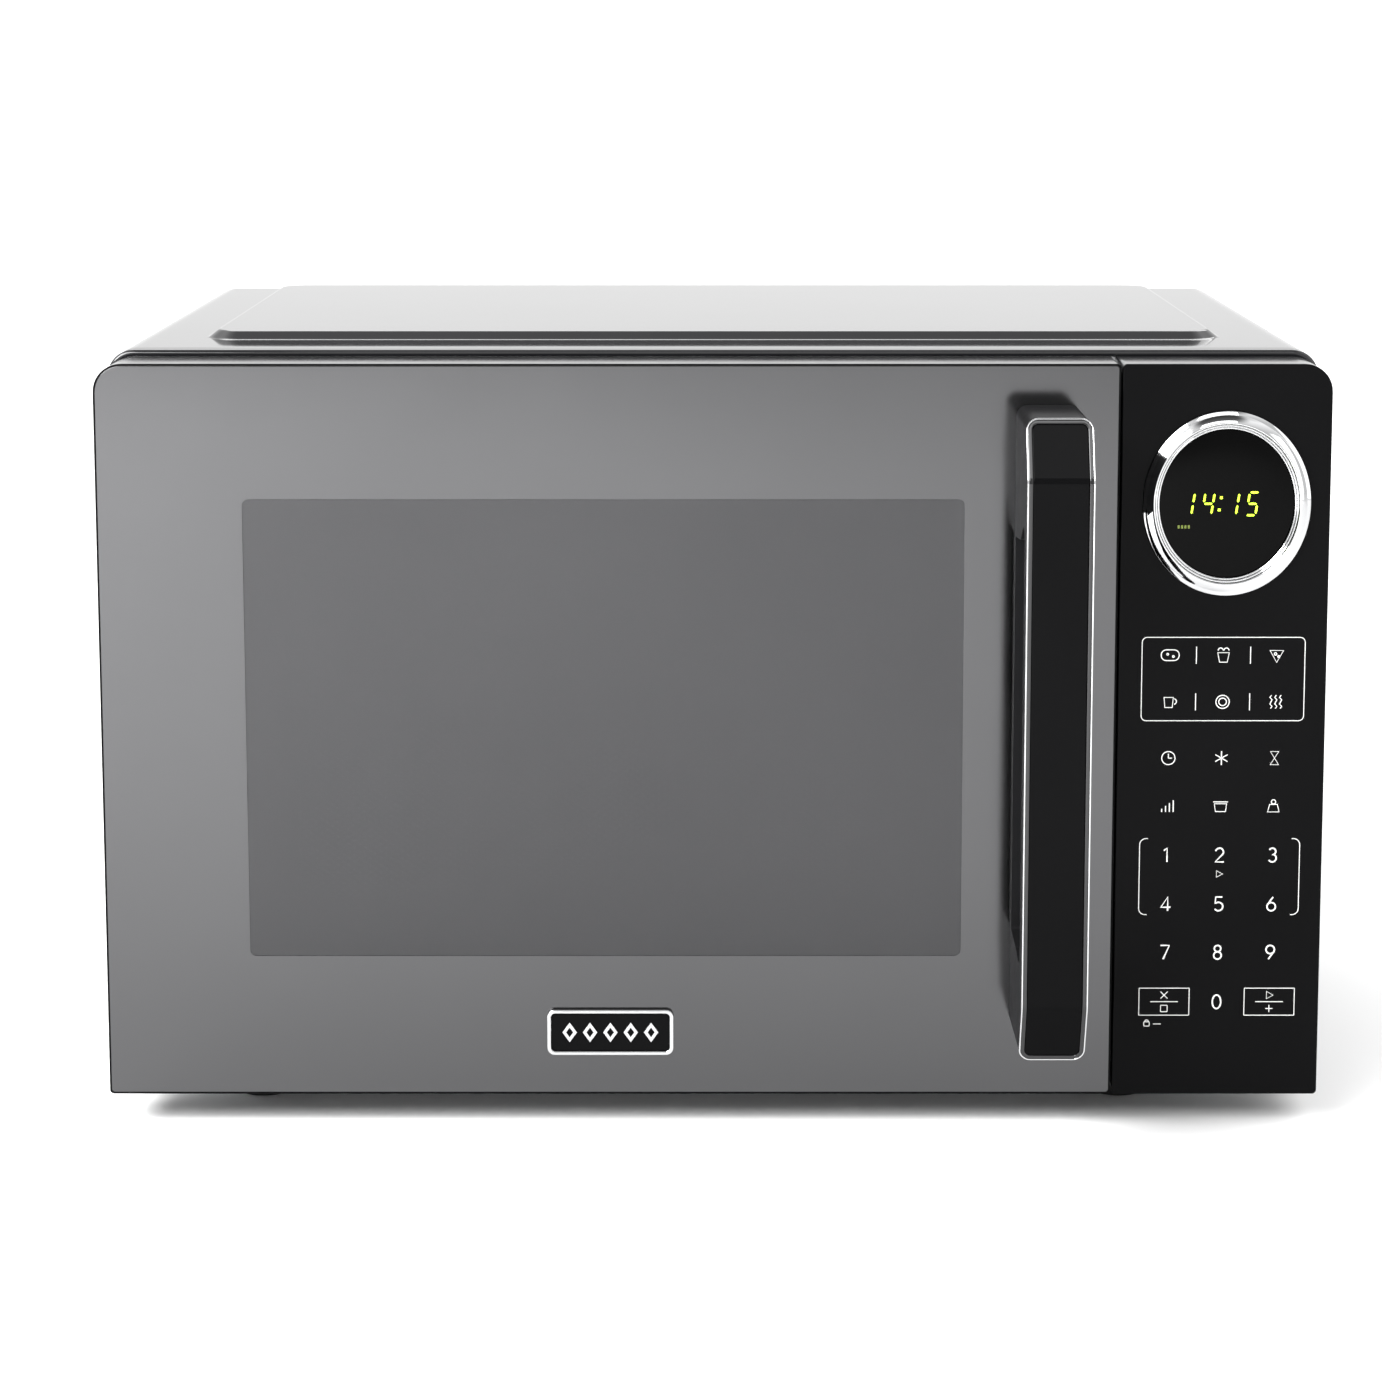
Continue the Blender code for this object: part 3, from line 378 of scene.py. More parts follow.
class Look(Nodes):
    """A Principled material whose colour, roughness and bump come from its nodes."""

    def __init__(self, name, roughness=0.4, metallic=0.0, **sockets):
        self.material = bpy.data.materials.new(name)
        self.material.use_nodes = True
        super().__init__(self.material.node_tree)
        self.inputs = self.tree.nodes["Principled BSDF"].inputs
        for socket, value in {"Roughness": roughness, "Metallic": metallic, **sockets}.items():
            self.inputs[socket.replace("_", " ")].default_value = value
        self.place = self.node("TexCoord").outputs["Object"]
        self.height = None

    def noise(self, scale, detail=3.0, stretch=(1, 1, 1)):
        place = self.node("Mapping", {"Vector": self.place, "Scale": stretch}).outputs["Vector"]
        return self.node("TexNoise", {"Vector": place, "Scale": scale, "Detail": detail}).outputs["Fac"]

    def colour(self, stops, scale, detail=3.0):
        self.feed(self.inputs["Base Color"], self.ramp(self.noise(scale, detail), stops))
        return self

    def tone(self, colour, spread, scale, detail=3.0):
        return self.colour(shades(colour, spread), scale, detail)

    def roughness(self, low, high, scale):
        self.feed(self.inputs["Roughness"], self.mapped(self.noise(scale, 4.0), low, high))
        return self

    def bump(self, source, strength, distance):
        sockets = {"Strength": strength, "Distance": distance, "Height": source}
        if self.height is not None:
            sockets["Normal"] = self.height
        self.height = self.node("Bump", sockets).outputs["Normal"]
        self.feed(self.inputs["Normal"], self.height)
        return self

    def grain(self, scale, strength, distance, stretch=(1, 1, 1)):
        return self.bump(self.noise(scale, 2.0, stretch), strength, distance)


def shades(colour, spread):
    """A darker and a lighter version of one colour, as ramp stops."""
    dark = tuple(channel * (1 - spread) for channel in colour)
    light = tuple(channel * (1 + spread) for channel in colour)
    return [(0.3, dark), (0.7, light)]


def make_looks():
    """One material for each of the record's slots, by slot name."""
    board = [(0.35, (0.035, 0.15, 0.06)), (0.62, (0.06, 0.22, 0.09)), (0.66, (0.34, 0.34, 0.30))]
    return {
        "black_painted_steel": Look("gloss_black_coat").tone((0.009, 0.009, 0.010), 0.12, 14)
        .roughness(0.060, 0.075, 30).grain(700, 0.004, 0.00002),

        "zinc_plated_steel": Look("zinc_plated_sheet", metallic=1.0)
        .tone((0.52, 0.53, 0.54), 0.05, 160, 4)
        .roughness(0.30, 0.40, 160).grain(420, 0.10, 0.0001, stretch=(1, 1, 12)),

        "grey_cavity_enamel": enamel_look(),

        "black_plastic": Look("moulded_black_plastic").tone((0.007, 0.007, 0.008), 0.15, 50)
        .roughness(0.10, 0.14, 60).grain(1500, 0.008, 0.00002),

        "gloss_black_plastic":
        Look("polished_black_plastic", Specular_IOR_Level=0.0, Coat_Weight=0.08, Coat_Roughness=0.03)
        .tone((0.0020, 0.0020, 0.0022), 0.12, 20).roughness(0.05, 0.09, 40).grain(160, 0.010, 0.00002),

        "grey_plastic": Look("moulded_grey_plastic").tone((0.26, 0.27, 0.28), 0.08, 60)
        .roughness(0.38, 0.50, 150).grain(1800, 0.15, 0.00006),

        "white_plastic": Look("moulded_white_plastic", Subsurface_Weight=0.05)
        .tone((0.70, 0.70, 0.66), 0.05, 50).roughness(0.35, 0.46, 150).grain(1800, 0.12, 0.00006),

        "clear_plastic": Look("clear_film", Alpha=0.16, Specular_IOR_Level=0.5)
        .tone((0.50, 0.52, 0.53), 0.03, 300).roughness(0.12, 0.22, 60).grain(300, 0.03, 0.00005),

        "red_plastic": Look("red_plastic").tone((0.50, 0.03, 0.02), 0.1, 200)
        .roughness(0.35, 0.45, 300).grain(2500, 0.1, 0.00005),

        "mirrored_glass": mirror_look("half_mirror_glass", (0.078, 0.078, 0.080), haze=0.10),

        "clear_glass": Look("toughened_glass", Alpha=0.34, IOR=1.5)
        .tone((0.72, 0.80, 0.80), 0.03, 20).roughness(0.03, 0.08, 35).grain(90, 0.03, 0.0001),

        "dark_lens": Look("smoked_lens", Specular_IOR_Level=0.0, Coat_Weight=0.10, Coat_Roughness=0.02)
        .tone((0.0008, 0.0008, 0.0008), 0.12, 40).roughness(0.03, 0.06, 50).grain(120, 0.01, 0.00003),

        "chrome": Look("polished_chrome", metallic=1.0).tone((0.50, 0.503, 0.508), 0.03, 60)
        .roughness(0.035, 0.075, 120).grain(500, 0.01, 0.00003),

        "black_rubber": Look("soft_black_rubber", Specular_IOR_Level=0.3)
        .tone((0.016, 0.016, 0.016), 0.25, 180).roughness(0.70, 0.85, 250).grain(1600, 0.35, 0.0001),

        "aluminium": Look("mill_aluminium", metallic=1.0).tone((0.66, 0.67, 0.68), 0.06, 60)
        .roughness(0.26, 0.40, 90).grain(900, 0.12, 0.0001, stretch=(8, 1, 1)),

        "steel_lamination": striped_look("steel_laminations", (0.16, 0.16, 0.17), "Y", 1400),

        "enamelled_copper": striped_look("copper_winding", (0.55, 0.20, 0.08), "Z", 1200),

        "mica": Look("pressed_mica").tone((0.52, 0.46, 0.36), 0.16, 260, 6)
        .roughness(0.35, 0.65, 320).grain(700, 0.25, 0.0001),

        "circuit_board": Look("solder_mask", Coat_Weight=0.3).colour(board, 240, 2)
        .roughness(0.28, 0.45, 200).grain(900, 0.2, 0.0001)}


def enamel_look():
    """Grey cavity enamel with fine dark flecks."""
    look = Look("speckled_enamel", Coat_Weight=0.2)
    cells = look.node("TexVoronoi", {"Vector": look.place, "Scale": 520}).outputs["Distance"]
    flecks = look.ramp(cells, [(0.14, (0.10, 0.10, 0.105)), (0.24, (0.36, 0.37, 0.38))])
    look.feed(look.inputs["Base Color"], flecks)
    return look.roughness(0.30, 0.42, 80).grain(700, 0.08, 0.00008)


def mirror_look(name, colour, alpha=1.0, haze=0.02):
    look = Look(name, metallic=1.0, Alpha=alpha).tone(colour, 0.02, 9)
    return look.roughness(haze, haze + 0.025, 16).grain(60, 0.004, 0.00004)


def striped_look(name, colour, axis, scale):
    """Fine parallel layers, as in a lamination stack or a winding."""
    look = Look(name, metallic=0.75).tone(colour, 0.12, 80).roughness(0.35, 0.50, 150)
    sockets = {"Vector": look.place, "Scale": scale / (2 * math.pi), "Distortion": 0.4}
    wave = look.node("TexWave", sockets, bands_direction=axis)
    return look.bump(wave.outputs["Fac"], 0.5, 0.0003)


def plain_look(name, colour, roughness, **sockets):
    """A printed or pigmented surface with a little tone and grain."""
    look = Look(name, **sockets).tone(colour, 0.02, 400)
    return look.roughness(roughness, roughness + 0.04, 200).grain(1500, 0.05, 0.00004)


def glow_look(name, colour, strength):
    look = Look(name, roughness=0.3, Emission_Strength=strength)
    shade = look.ramp(look.noise(900, 2), shades(colour, 0.06))
    look.feed(look.inputs["Emission Color"], shade)
    look.feed(look.inputs["Base Color"], shade)
    return look


LOOKS = make_looks()


def place_piece(thing, body, slot, *nodes, look=None):
    """Finish a new piece: its material, from its own look or else from its slot, its body, and hiding the CAD
    nodes it stands for.
    """
    thing.data.materials.clear()
    thing.data.materials.append((look or LOOKS[slot]).material)
    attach(thing, body)
    if nodes:
        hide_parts(*nodes)


# ------------------------------------------------------------------ case

def bend_rows(x, z, radius, start, end, step):
    """Points of a bend as (x, z, outward x, outward z)."""
    turns = [math.radians(angle) for angle in range(start, end + 1, step)]
    return [(x + radius * math.cos(a), z + radius * math.sin(a), math.cos(a), math.sin(a)) for a in turns]


def cover_profile():
    """The cover's section as (x, z, outward x, outward z), from flange to flange."""
    side, bottom, top = COVER_HIGH[0], COVER_LOW[2], PAD_LEVEL
    bend, corner = 0.0015, 0.010
    half = [(side - x, bottom, 0, -1) for x in (0.012, 0.006)]
    half += bend_rows(side - bend, bottom + bend, bend, -90, 0, 30)
    half += [(side, bottom + (top - bottom) * share, 1, 0) for share in (0.1, 0.3, 0.5, 0.7, 0.9)]
    half += bend_rows(side - corner, top - corner, corner, 0, 90, 9)
    slope = {PAD_HALF_X - 0.0125 + n * 0.0005 for n in range(28)}
    across = sorted({0.0, 0.204, 0.208} | {n * 0.012 for n in range(1, 14)} | slope, reverse=True)
    right = half + [(x, top, 0, 1) for x in across]
    left = [(-x, z, -out_x, out_z) for x, z, out_x, out_z in right if x > 0]
    return left + right[::-1]


def eased(share, blend=0.09):
    """A straight slope from 0 to 1 with a short curve at its foot and its head."""
    if share < blend:
        return max(share + blend, 0) ** 2 / (4 * blend)
    if share > 1 - blend:
        return 1 - max(1 + blend - share, 0) ** 2 / (4 * blend)
    return share


def pad_rise(x, y):
    """How far the raised panel lifts the top sheet at a point."""
    half_y, middle = (PAD_Y[1] - PAD_Y[0]) / 2, (PAD_Y[0] + PAD_Y[1]) / 2
    across = abs(x) - (PAD_HALF_X - PAD_CORNER)
    along = abs(y - middle) - (half_y - PAD_CORNER)
    outside = math.hypot(max(across, 0), max(along, 0)) + min(max(across, along), 0)
    return (COVER_HIGH[2] - PAD_LEVEL) * eased((PAD_CORNER - outside) / PAD_SLOPE)


def vent_cutter(name, side, start, rows, count):
    """Upright round-ended slots through one side of the cover."""
    pitch, width, length, row_pitch, reach = 0.008, 0.0032, 0.034, 0.042, 0.004
    middle = side * COVER_HIGH[0]
    meshes = []
    for row in range(rows):
        for place in range(count):
            centre = (start[0] + place * pitch, start[1] + length / 2 + row * row_pitch)
            outline = stadium(centre, length, width, upright=True, steps=5)
            meshes.append(plate_mesh(name, [outline], (middle - reach, middle + reach), "X"))
    return merged(name, meshes)


def cover_rows(profile):
    """Rows of points along the cover: the curled front hem, the top and sides, the rear flange."""
    front, rear, hem, fine = COVER_LOW[1], COVER_HIGH[1], 0.0014, 0.0005
    turns = [math.radians(angle) for angle in range(90, 0, -15)]
    inward = [(front + 0.0002, hem + 0.0009), (front, hem + 0.0003)]
    inward += [(front + hem - hem * math.sin(a), hem - hem * math.cos(a)) for a in turns]
    stations = {front + hem, rear - 0.0006, rear} | {front + 0.012 * n for n in range(1, 24)}
    stations |= {PAD_Y[0] + fine * (n - 1) for n in range(31)}
    stations |= {PAD_Y[1] - fine * (n - 1) for n in range(31)}
    rows = [
        [(x - out_x * depth, y, z - out_z * depth) for x, z, out_x, out_z in profile]
        for y, depth in inward]
    rows += [
        [(x, y, z + (pad_rise(x, y) if z >= PAD_LEVEL - 1e-6 else 0)) for x, z, _, _ in profile]
        for y in sorted(y for y in stations if y <= rear)]
    return rows + [
        [(x - out_x * depth, rear + out, z - out_z * depth) for x, z, out_x, out_z in profile]
        for depth, out in ((0.0005, 0.0003), (0.0045, 0.0004), (0.009, 0.0004))]


def make_cover():
    bm = bmesh.new()
    rows = [[bm.verts.new(point) for point in row] for row in cover_rows(cover_profile())]
    for first, second in zip(rows, rows[1:]):
        for index in range(len(first) - 1):
            bm.faces.new((first[index], first[index + 1], second[index + 1], second[index]))
    bmesh.ops.remove_doubles(bm, verts=bm.verts, dist=1e-5)
    bmesh.ops.recalc_face_normals(bm, faces=bm.faces)
    cover = thickened(from_bmesh("cover_shell", bm), 0.0009, -1)
    cut(cover, vent_cutter("right_vent_slots", side=1, start=(0.060, 0.060), rows=2, count=7))
    cut(cover, vent_cutter("left_vent_slots", side=-1, start=(0.090, 0.190), rows=1, count=7))
    smooth(cover, 35, weighted=False)
    place_piece(cover, "case", "black_painted_steel", "outer_cover")


def make_rear_panel():
    low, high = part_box("rear_panel")
    corner, fan_radius, pitch, web = 0.0086, 0.040, 0.0085, 0.003
    outline = front_view(low, high, 0, (0.001, 0.001, corner, corner))
    gland = middle_of(*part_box("cord_gland"))
    fan = middle_of(*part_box("fan_blade"))
    holes = [oval((gland[0], gland[2]), 0.0075, 0.0075, 32)]
    for row in range(-4, 5):
        height = row * pitch
        reach = math.sqrt(fan_radius ** 2 - height ** 2) - web
        for side in (-1, 1):
            holes.append(stadium((fan[0] + side * (reach + web) / 2, fan[2] + height), reach, 0.0042))
    vent_start, vent_heights = -0.152, (0.196, 0.222)
    for column in range(9):
        for height in vent_heights:
            holes.append(stadium((vent_start + pitch * column, height), 0.020, 0.0036, upright=True))
    panel = plate("rear_sheet", [outline] + holes, (low[1], high[1]), edge=0.0002, steps=1)
    place_piece(panel, "case", "zinc_plated_steel", "rear_panel")
    span = (high[1] - 0.0004, high[1] + 0.0012)
    ribs = [
        plate_mesh("rib", [stadium((x, 0.115), 0.090, 0.010, upright=True)], span, edge=0.0009)
        for x in (-0.150, -0.100, -0.050, 0.000, 0.050)]
    place_piece(smooth(merged("rear_ribs", ribs)), "case", "zinc_plated_steel")


def make_feet():
    for name in ("front_left_foot", "front_right_foot", "rear_left_foot", "rear_right_foot"):
        low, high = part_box(name)
        radius, height = (high[0] - low[0]) / 2, high[2] - low[2]
        profile = (
            [(0, height), (radius * 0.80, height)]
            + arc((radius - 0.0012, height - 0.0030), 0.0012, 80, 0, 4)
            + [(radius, 0.0060), (radius - 0.0005, 0.0056), (radius - 0.0005, 0.0048), (radius, 0.0044)]
            + arc((radius - 0.0018, 0.0018), 0.0018, 0, -90, 5)
            + [(0.0062, 0), (0.0056, 0.0012), (0.0024, 0.0012), (0.0018, 0.0002), (0, 0.0002)])
        foot = turned(name + "_pad", profile, (*middle_of(low, high)[:2], low[2]), steps=48)
        place_piece(foot, "case", "black_rubber", name)


def screw_piece(name, centre, rotation, head=0.0032):
    """A pan-head screw with a crossed recess."""
    profile = (
        [(0, 0.0019)] + arc((head - 0.0012, 0.0007), 0.0012, 90, 0, 5)
        + [(head, 0), (0.0016, 0), (0.0016, -0.0060), (0, -0.0070)])
    screw = turned(name, profile, (0, 0, 0), steps=32)
    reach, width, bottom, top = 0.0017, 0.0004, 0.0008, 0.0024
    recess = box_cutter("recess", [
        ((-u, -v, bottom), (u, v, top)) for u, v in ((reach, width), (width, reach))])
    cut(screw, recess, crossed=True)
    screw.location = centre
    screw.rotation_euler = rotation
    return smooth(screw, 35, weighted=False)


def make_screws():
    for name in ("cover_screw_left", "cover_screw_right"):
        low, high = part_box(name)
        x, _, z = middle_of(low, high)
        base = high[1] - 0.0019
        screw = screw_piece(name + "_head", (x, base, z), (-QUARTER, 0, 0))
        place_piece(screw, "case", "zinc_plated_steel", name)
        lower = screw_piece(name + "_lower", (x, base, z - 0.170), (-QUARTER, 0, 0))
        place_piece(lower, "case", "zinc_plated_steel")


def make_gland():
    low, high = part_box("cord_gland")
    x, _, z = middle_of(low, high)
    profile = (
        [(0.0038, 0), (0.0046, -0.0002)] + arc((0.0070, -0.0012), 0.0012, 90, 0, 4)
        + arc((0.0088, -0.0028), 0.0012, 70, 0, 4)
        + [(0.0100, -0.0032), (0.0072, -0.0034), (0.0072, -0.0050), (0.0086, -0.0058),
           (0.0072, -0.0118), (0.0036, -0.0118), (0.0036, -0.0006)])
    gland = turned("cord_bush", profile, (x, high[1], z), (-QUARTER, 0, 0), 48, closed=True)
    place_piece(gland, "case", "black_plastic", "cord_gland")


# ------------------------------------------------------------------ door

def front_panel(low, high, inset, rounded_corner):
    """Outline of the door or the control panel, whose one rounded corner is named by its place."""
    small = max(0.0015 - inset / 2, 0.0005)
    radii = [small] * 4
    radii[rounded_corner] = FACE_CORNER - inset
    return front_view(low, high, inset, tuple(radii), 10)


def door_outline(inset):
    return front_panel(DOOR_LOW, DOOR_HIGH, inset, 3)


def window_box(grow=0.0):
    low = (DOOR_LOW[0] + WINDOW_INSET[0] - grow, DOOR_LOW[2] + WINDOW_INSET[1] - grow)
    high = (low[0] + WINDOW_SIZE[0] + 2 * grow, low[1] + WINDOW_SIZE[1] + 2 * grow)
    return low, high


def window_outline(grow=0.0):
    return rounded(*window_box(grow), WINDOW_CORNER + grow)


def box_cutter(name, corners):
    bm = bmesh.new()
    for low, high in corners:
        low, high = Vector(low), Vector(high)
        place = Matrix.Translation((low + high) / 2) @ Matrix.Diagonal((*(high - low), 1))
        bmesh.ops.create_cube(bm, size=1, matrix=place)
    return from_bmesh(name, bm)


def make_door_shell():
    rear = DOOR_HIGH[1]
    shell = merged("door_shell", [
        plate_mesh("web", [door_outline(0.0006), window_outline(0.006)], (FACE + 0.0034, FACE + 0.0056)),
        plate_mesh("wall", [door_outline(0), door_outline(0.0025)], (FACE + 0.0004, rear), edge=0.0002)])
    side, front, half = DOOR_LOW[0], FACE + 0.008, 0.004
    cut(shell, box_cutter("notches", [
        ((side - 0.002, front, arm - half), (side + 0.016, rear + 0.001, arm + half)) for arm in HINGE_ARMS]))
    place_piece(smooth(shell), "door", "black_plastic", "door_frame")
    outlines = [door_outline(0), door_outline(0.0006)]
    rim = plate("door_rim", outlines, (FACE, FACE + 0.0012), edge=0.00025)
    place_piece(rim, "door", "gloss_black_plastic")


def make_door_glass():
    """The half-mirrored pane, and the tinted window in it that shows the screen."""
    rear = FACE + 0.0031
    pane = plate("mirror_pane", [door_outline(0.0007), window_outline()], (FACE, rear), edge=0.0002)
    place_piece(pane, "door", "mirrored_glass", "door_glass")
    window = plate("window_pane", [window_outline(-0.00002)], (FACE + 0.00005, rear))
    tint = mirror_look("window_half_mirror", (0.058, 0.058, 0.060), 0.80, haze=0.10)
    place_piece(window, "door", "mirrored_glass", look=tint)


def screen_cells(middle):
    """Centres of the punched holes, a rectangular grid with one more hole in each cell."""
    columns = round(HOLE_ZONE[0] / HOLE_PITCH[0])
    rows = round(HOLE_ZONE[1] / HOLE_PITCH[1])
    for offset in (0.0, 0.5):
        for column in range(columns + 1 - round(offset)):
            for row in range(rows + 1 - round(offset)):
                yield (
                    middle[0] + (column + offset - columns / 2) * HOLE_PITCH[0],
                    middle[1] + (row + offset - rows / 2) * HOLE_PITCH[1])


def make_screen():
    (low, high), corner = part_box("door_screen"), 0.003
    u, v = middle_of(*window_box())
    middle = (u, v + HOLE_ZONE_RISE)
    pitch_u, pitch_v = HOLE_PITCH
    flat = (pitch_u ** 2 - pitch_v ** 2) / (4 * pitch_u)
    tip = (pitch_u ** 2 + pitch_v ** 2) / (4 * pitch_u)
    cell = [
        (tip, 0), (flat, pitch_v / 2), (-flat, pitch_v / 2),
        (-tip, 0), (-flat, -pitch_v / 2), (flat, -pitch_v / 2)]
    hole, level = oval((0, 0), HOLE_RADIUS, HOLE_RADIUS, 6), low[1] + 0.0001
    bm = bmesh.new()
    for u, v in screen_cells(middle):
        outer, inner = [
            [bm.verts.new((u + a, level, v + b)) for a, b in outline] for outline in (cell, hole)]
        for index in range(6):
            after = (index + 1) % 6
            bm.faces.new((outer[index], outer[after], inner[after], inner[index]))
    bmesh.ops.remove_doubles(bm, verts=bm.verts, dist=2e-5)
    screen = thickened(from_bmesh("punched_screen", bm), 0.0005, 0)
    punched = Look("blackened_screen", metallic=0.2).tone((0.030, 0.030, 0.031), 0.1, 60)
    punched.roughness(0.35, 0.5, 200).grain(900, 0.1, 0.00005)
    place_piece(screen, "door", "zinc_plated_steel", "door_screen", look=punched)
    outlines = [front_view(low, high, 0, corner), centred(middle, HOLE_ZONE[0] / 2, HOLE_ZONE[1] / 2, 0.006)]
    border = plate("screen_border", outlines, (low[1] - 0.0004, low[1] - 0.0002), edge=0.00005, steps=1)
    place_piece(border, "door", "zinc_plated_steel", look=punched)
    # A grey, half-clear sheet behind the punched holes, whose colour is painted light: it stands in for the
    # lit cavity that the holes would show
    film = plate("lit_cavity_sheet", [front_view(low, high, 0.002, corner)], (low[1] + 0.0006, low[1] + 0.0010))
    backing = plain_look("lit_cavity_paint", (0.30, 0.30, 0.30), 0.45, Alpha=0.6)
    place_piece(film, "door", "clear_plastic", look=backing)


def handle_outline():
    """Side view of the handle as (y, z) points."""
    base, front, end = HANDLE_HIGH[1], HANDLE_LOW[1] + 0.0003, HANDLE_LOW[1] + 0.0102
    low, high = HANDLE_LOW[2], HANDLE_HIGH[2]
    corners = [(base, low), (end, low), (front, BENDS[0]), (front, BENDS[1]), (end, high), (base, high)]
    return filleted(corners, (0.0006, 0.0040, 0.0120, 0.0120, 0.0040, 0.0006), 6)


def finger_gap():
    base, low, high = HANDLE_HIGH[1] - 0.0035, HANDLE_LOW[2], HANDLE_HIGH[2]
    bar = HANDLE_LOW[1] + 0.0115
    corners = [
        (base, low + 0.0372), (bar + 0.0165, low + 0.0360), (bar, low + 0.0325),
        (bar, high - 0.0349), (bar + 0.0165, high - 0.0449), (base, high - 0.0469)]
    return filleted(corners, (0.0015, 0.0060, 0.0060, 0.0060, 0.0060, 0.0015), 6)


def facet_strip(front, thickness, low, high):
    """Side view of a slab that follows the handle's three front facets."""
    ahead = [
        (front + (BENDS[0] - low) * FACET_LEAN, low), (front, BENDS[0]),
        (front, BENDS[1]), (front + (high - BENDS[1]) * FACET_LEAN, high)]
    behind = [(y + thickness, z) for y, z in reversed(ahead)]
    bend, end = 0.0120, 0.0005
    return filleted(ahead + behind, (end, bend, bend, end, end, bend, bend, end), 6)


def front_outline(inset, radius):
    """The handle's outline as seen from the front, as (x, z) points."""
    return front_view(HANDLE_LOW, HANDLE_HIGH, inset, radius)


def set_back(z, blend=0.0012):
    """How far the handle's front lies behind its foremost facet at a height."""
    beyond = max(BENDS[0] - z, z - BENDS[1])
    if beyond < blend:
        return FACET_LEAN * max(beyond + blend, 0) ** 2 / (4 * blend)
    return FACET_LEAN * beyond


def folded(thing):
    """Fold a flat upright plate so that it follows the three front facets."""
    bm = bmesh.new()
    bm.from_mesh(thing.data)
    for bend in BENDS:
        for step in range(-3, 4):
            bmesh.ops.bisect_plane(
                bm, geom=bm.verts[:] + bm.edges[:] + bm.faces[:], dist=1e-6,
                plane_co=(0, 0, bend + step * 0.0004), plane_no=(0, 0, 1))
    for vert in bm.verts:
        vert.co.y += set_back(vert.co.z)
    bm.to_mesh(thing.data)
    bm.free()
    return smooth(thing, 30)


def make_handle():
    across = (HANDLE_LOW[0], HANDLE_HIGH[0])
    front, low, high = HANDLE_LOW[1], HANDLE_LOW[2], HANDLE_HIGH[2]
    corner, trim_width, rim_width, gap, rear = 0.0042, 0.0005, 0.0019, 0.0001, front + 0.0026
    satin = plain_look("handle_black", (0.007, 0.007, 0.0075), 0.30, Specular_IOR_Level=0.05)
    body = plate("handle_body", [handle_outline(), finger_gap()], across, "X")
    span = (front - 0.004, HANDLE_HIGH[1] + 0.004)
    mask = mesh_object("mask", plate_mesh("mask", [front_outline(0.0001, corner)], span))
    cut(body, mask, "INTERSECT")
    seat = plate_mesh(
        "seat", [facet_strip(front - 0.006, 0.0080, low - 0.010, high + 0.010)],
        (across[0] - 0.004, across[1] + 0.004), "X")
    cut(body, mesh_object("seat", seat))
    place_piece(bevelled(body, 0.0006), "door", "gloss_black_plastic", "handle_frame", look=satin)

    inner = front_outline(trim_width, corner - trim_width)
    trim = folded(plate("handle_trim", [front_outline(0, corner), inner], (front, rear), edge=0.0002))
    place_piece(trim, "door", "chrome")
    outlines = [inner, front_outline(rim_width, corner - rim_width)]
    rim = folded(plate("handle_rim", outlines, (front + 0.0001, rear), edge=0.0003))
    place_piece(rim, "door", "chrome", look=mirror_look("smoked_chrome", (0.050, 0.050, 0.051)))
    outline = front_outline(rim_width + gap, corner - rim_width)
    insert = folded(plate("handle_face", [outline], (front + 0.0003, front + 0.0023), edge=0.0003))
    place_piece(insert, "door", "gloss_black_plastic", "handle_insert")


def make_latch_coil():
    """The latch's return spring, which the hooks press together as they lift; here a still coil whose turns
    lie closer together at its ends.
    """
    low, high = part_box("latch_spring")
    wire, turns, per_turn, travel = 0.0010, 8, 16, 0.004
    bottom, top = low[2] + wire / 2, high[2] - wire / 2
    centre = middle_of(low, high)[:2]
    radius = (high[0] - low[0]) / 2 - wire / 2
    points = []
    for step in range(turns * per_turn + 1):
        angle = 2 * math.pi * step / per_turn
        share = step / (turns * per_turn)
        share -= math.sin(2 * math.pi * share) * 0.07
        points.append((
            centre[0] + radius * math.cos(angle), centre[1] + radius * math.sin(angle),
            bottom + (top - bottom) * share))
    coil = wires("latch_coil", [(points, False)], wire)
    place_piece(coil, "door", "zinc_plated_steel", "latch_spring")
    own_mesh(coil)


def make_badge():
    """A bright frame round a dark plate, with a plain row of studs in place of any mark."""
    low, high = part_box("badge_frame")
    plate_low, plate_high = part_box("badge_plate")
    margin, pitch, half_u, half_v, opening = 0.0015, 0.0074, 0.0027, 0.0038, 0.45
    hole = front_view(low, high, margin, margin)
    band = plate(
        "badge_band", [front_view(low, high, 0, 0.0028), hole], (low[1], high[1]), edge=0.0005, steps=3)
    place_piece(band, "door", "chrome", "badge_frame")
    face = plate("badge_field", [hole], (plate_low[1], plate_high[1]), edge=0.0001)
    place_piece(face, "door", "gloss_black_plastic", "badge_plate")
    x, _, z = middle_of(low, high)
    span = (plate_low[1] - 0.0006, plate_low[1] + 0.0001)
    studs = []
    for place in range(-2, 3):
        u = x + place * pitch
        outlines = [oval((u, z), half_u * size, half_v * size, 4) for size in (1, opening)]
        studs.append(plate_mesh("stud", outlines, span, edge=0.0002, steps=1))
    place_piece(smooth(merged("badge_studs", studs)), "door", "chrome")


# ------------------------------------------------------------------ controls

def panel_outline(inset):
    return front_panel(PANEL_LOW, PANEL_HIGH, inset, 2)


def make_panel():
    skirt = merged("panel_skirt", [
        plate_mesh(
            "skirt", [panel_outline(0), panel_outline(0.0022)], (FACE + 0.0004, PANEL_HIGH[1]), edge=0.0002),
        plate_mesh("backing", [panel_outline(0.0020)], (FACE + 0.0012, FACE + 0.0030))])
    place_piece(smooth(skirt), "case", "black_plastic", "control_panel")
    fascia = plate("panel_fascia", [panel_outline(0)], (FACE, FACE + 0.0010), edge=0.0003, steps=3)
    place_piece(fascia, "case", "gloss_black_plastic", "keypad_overlay")


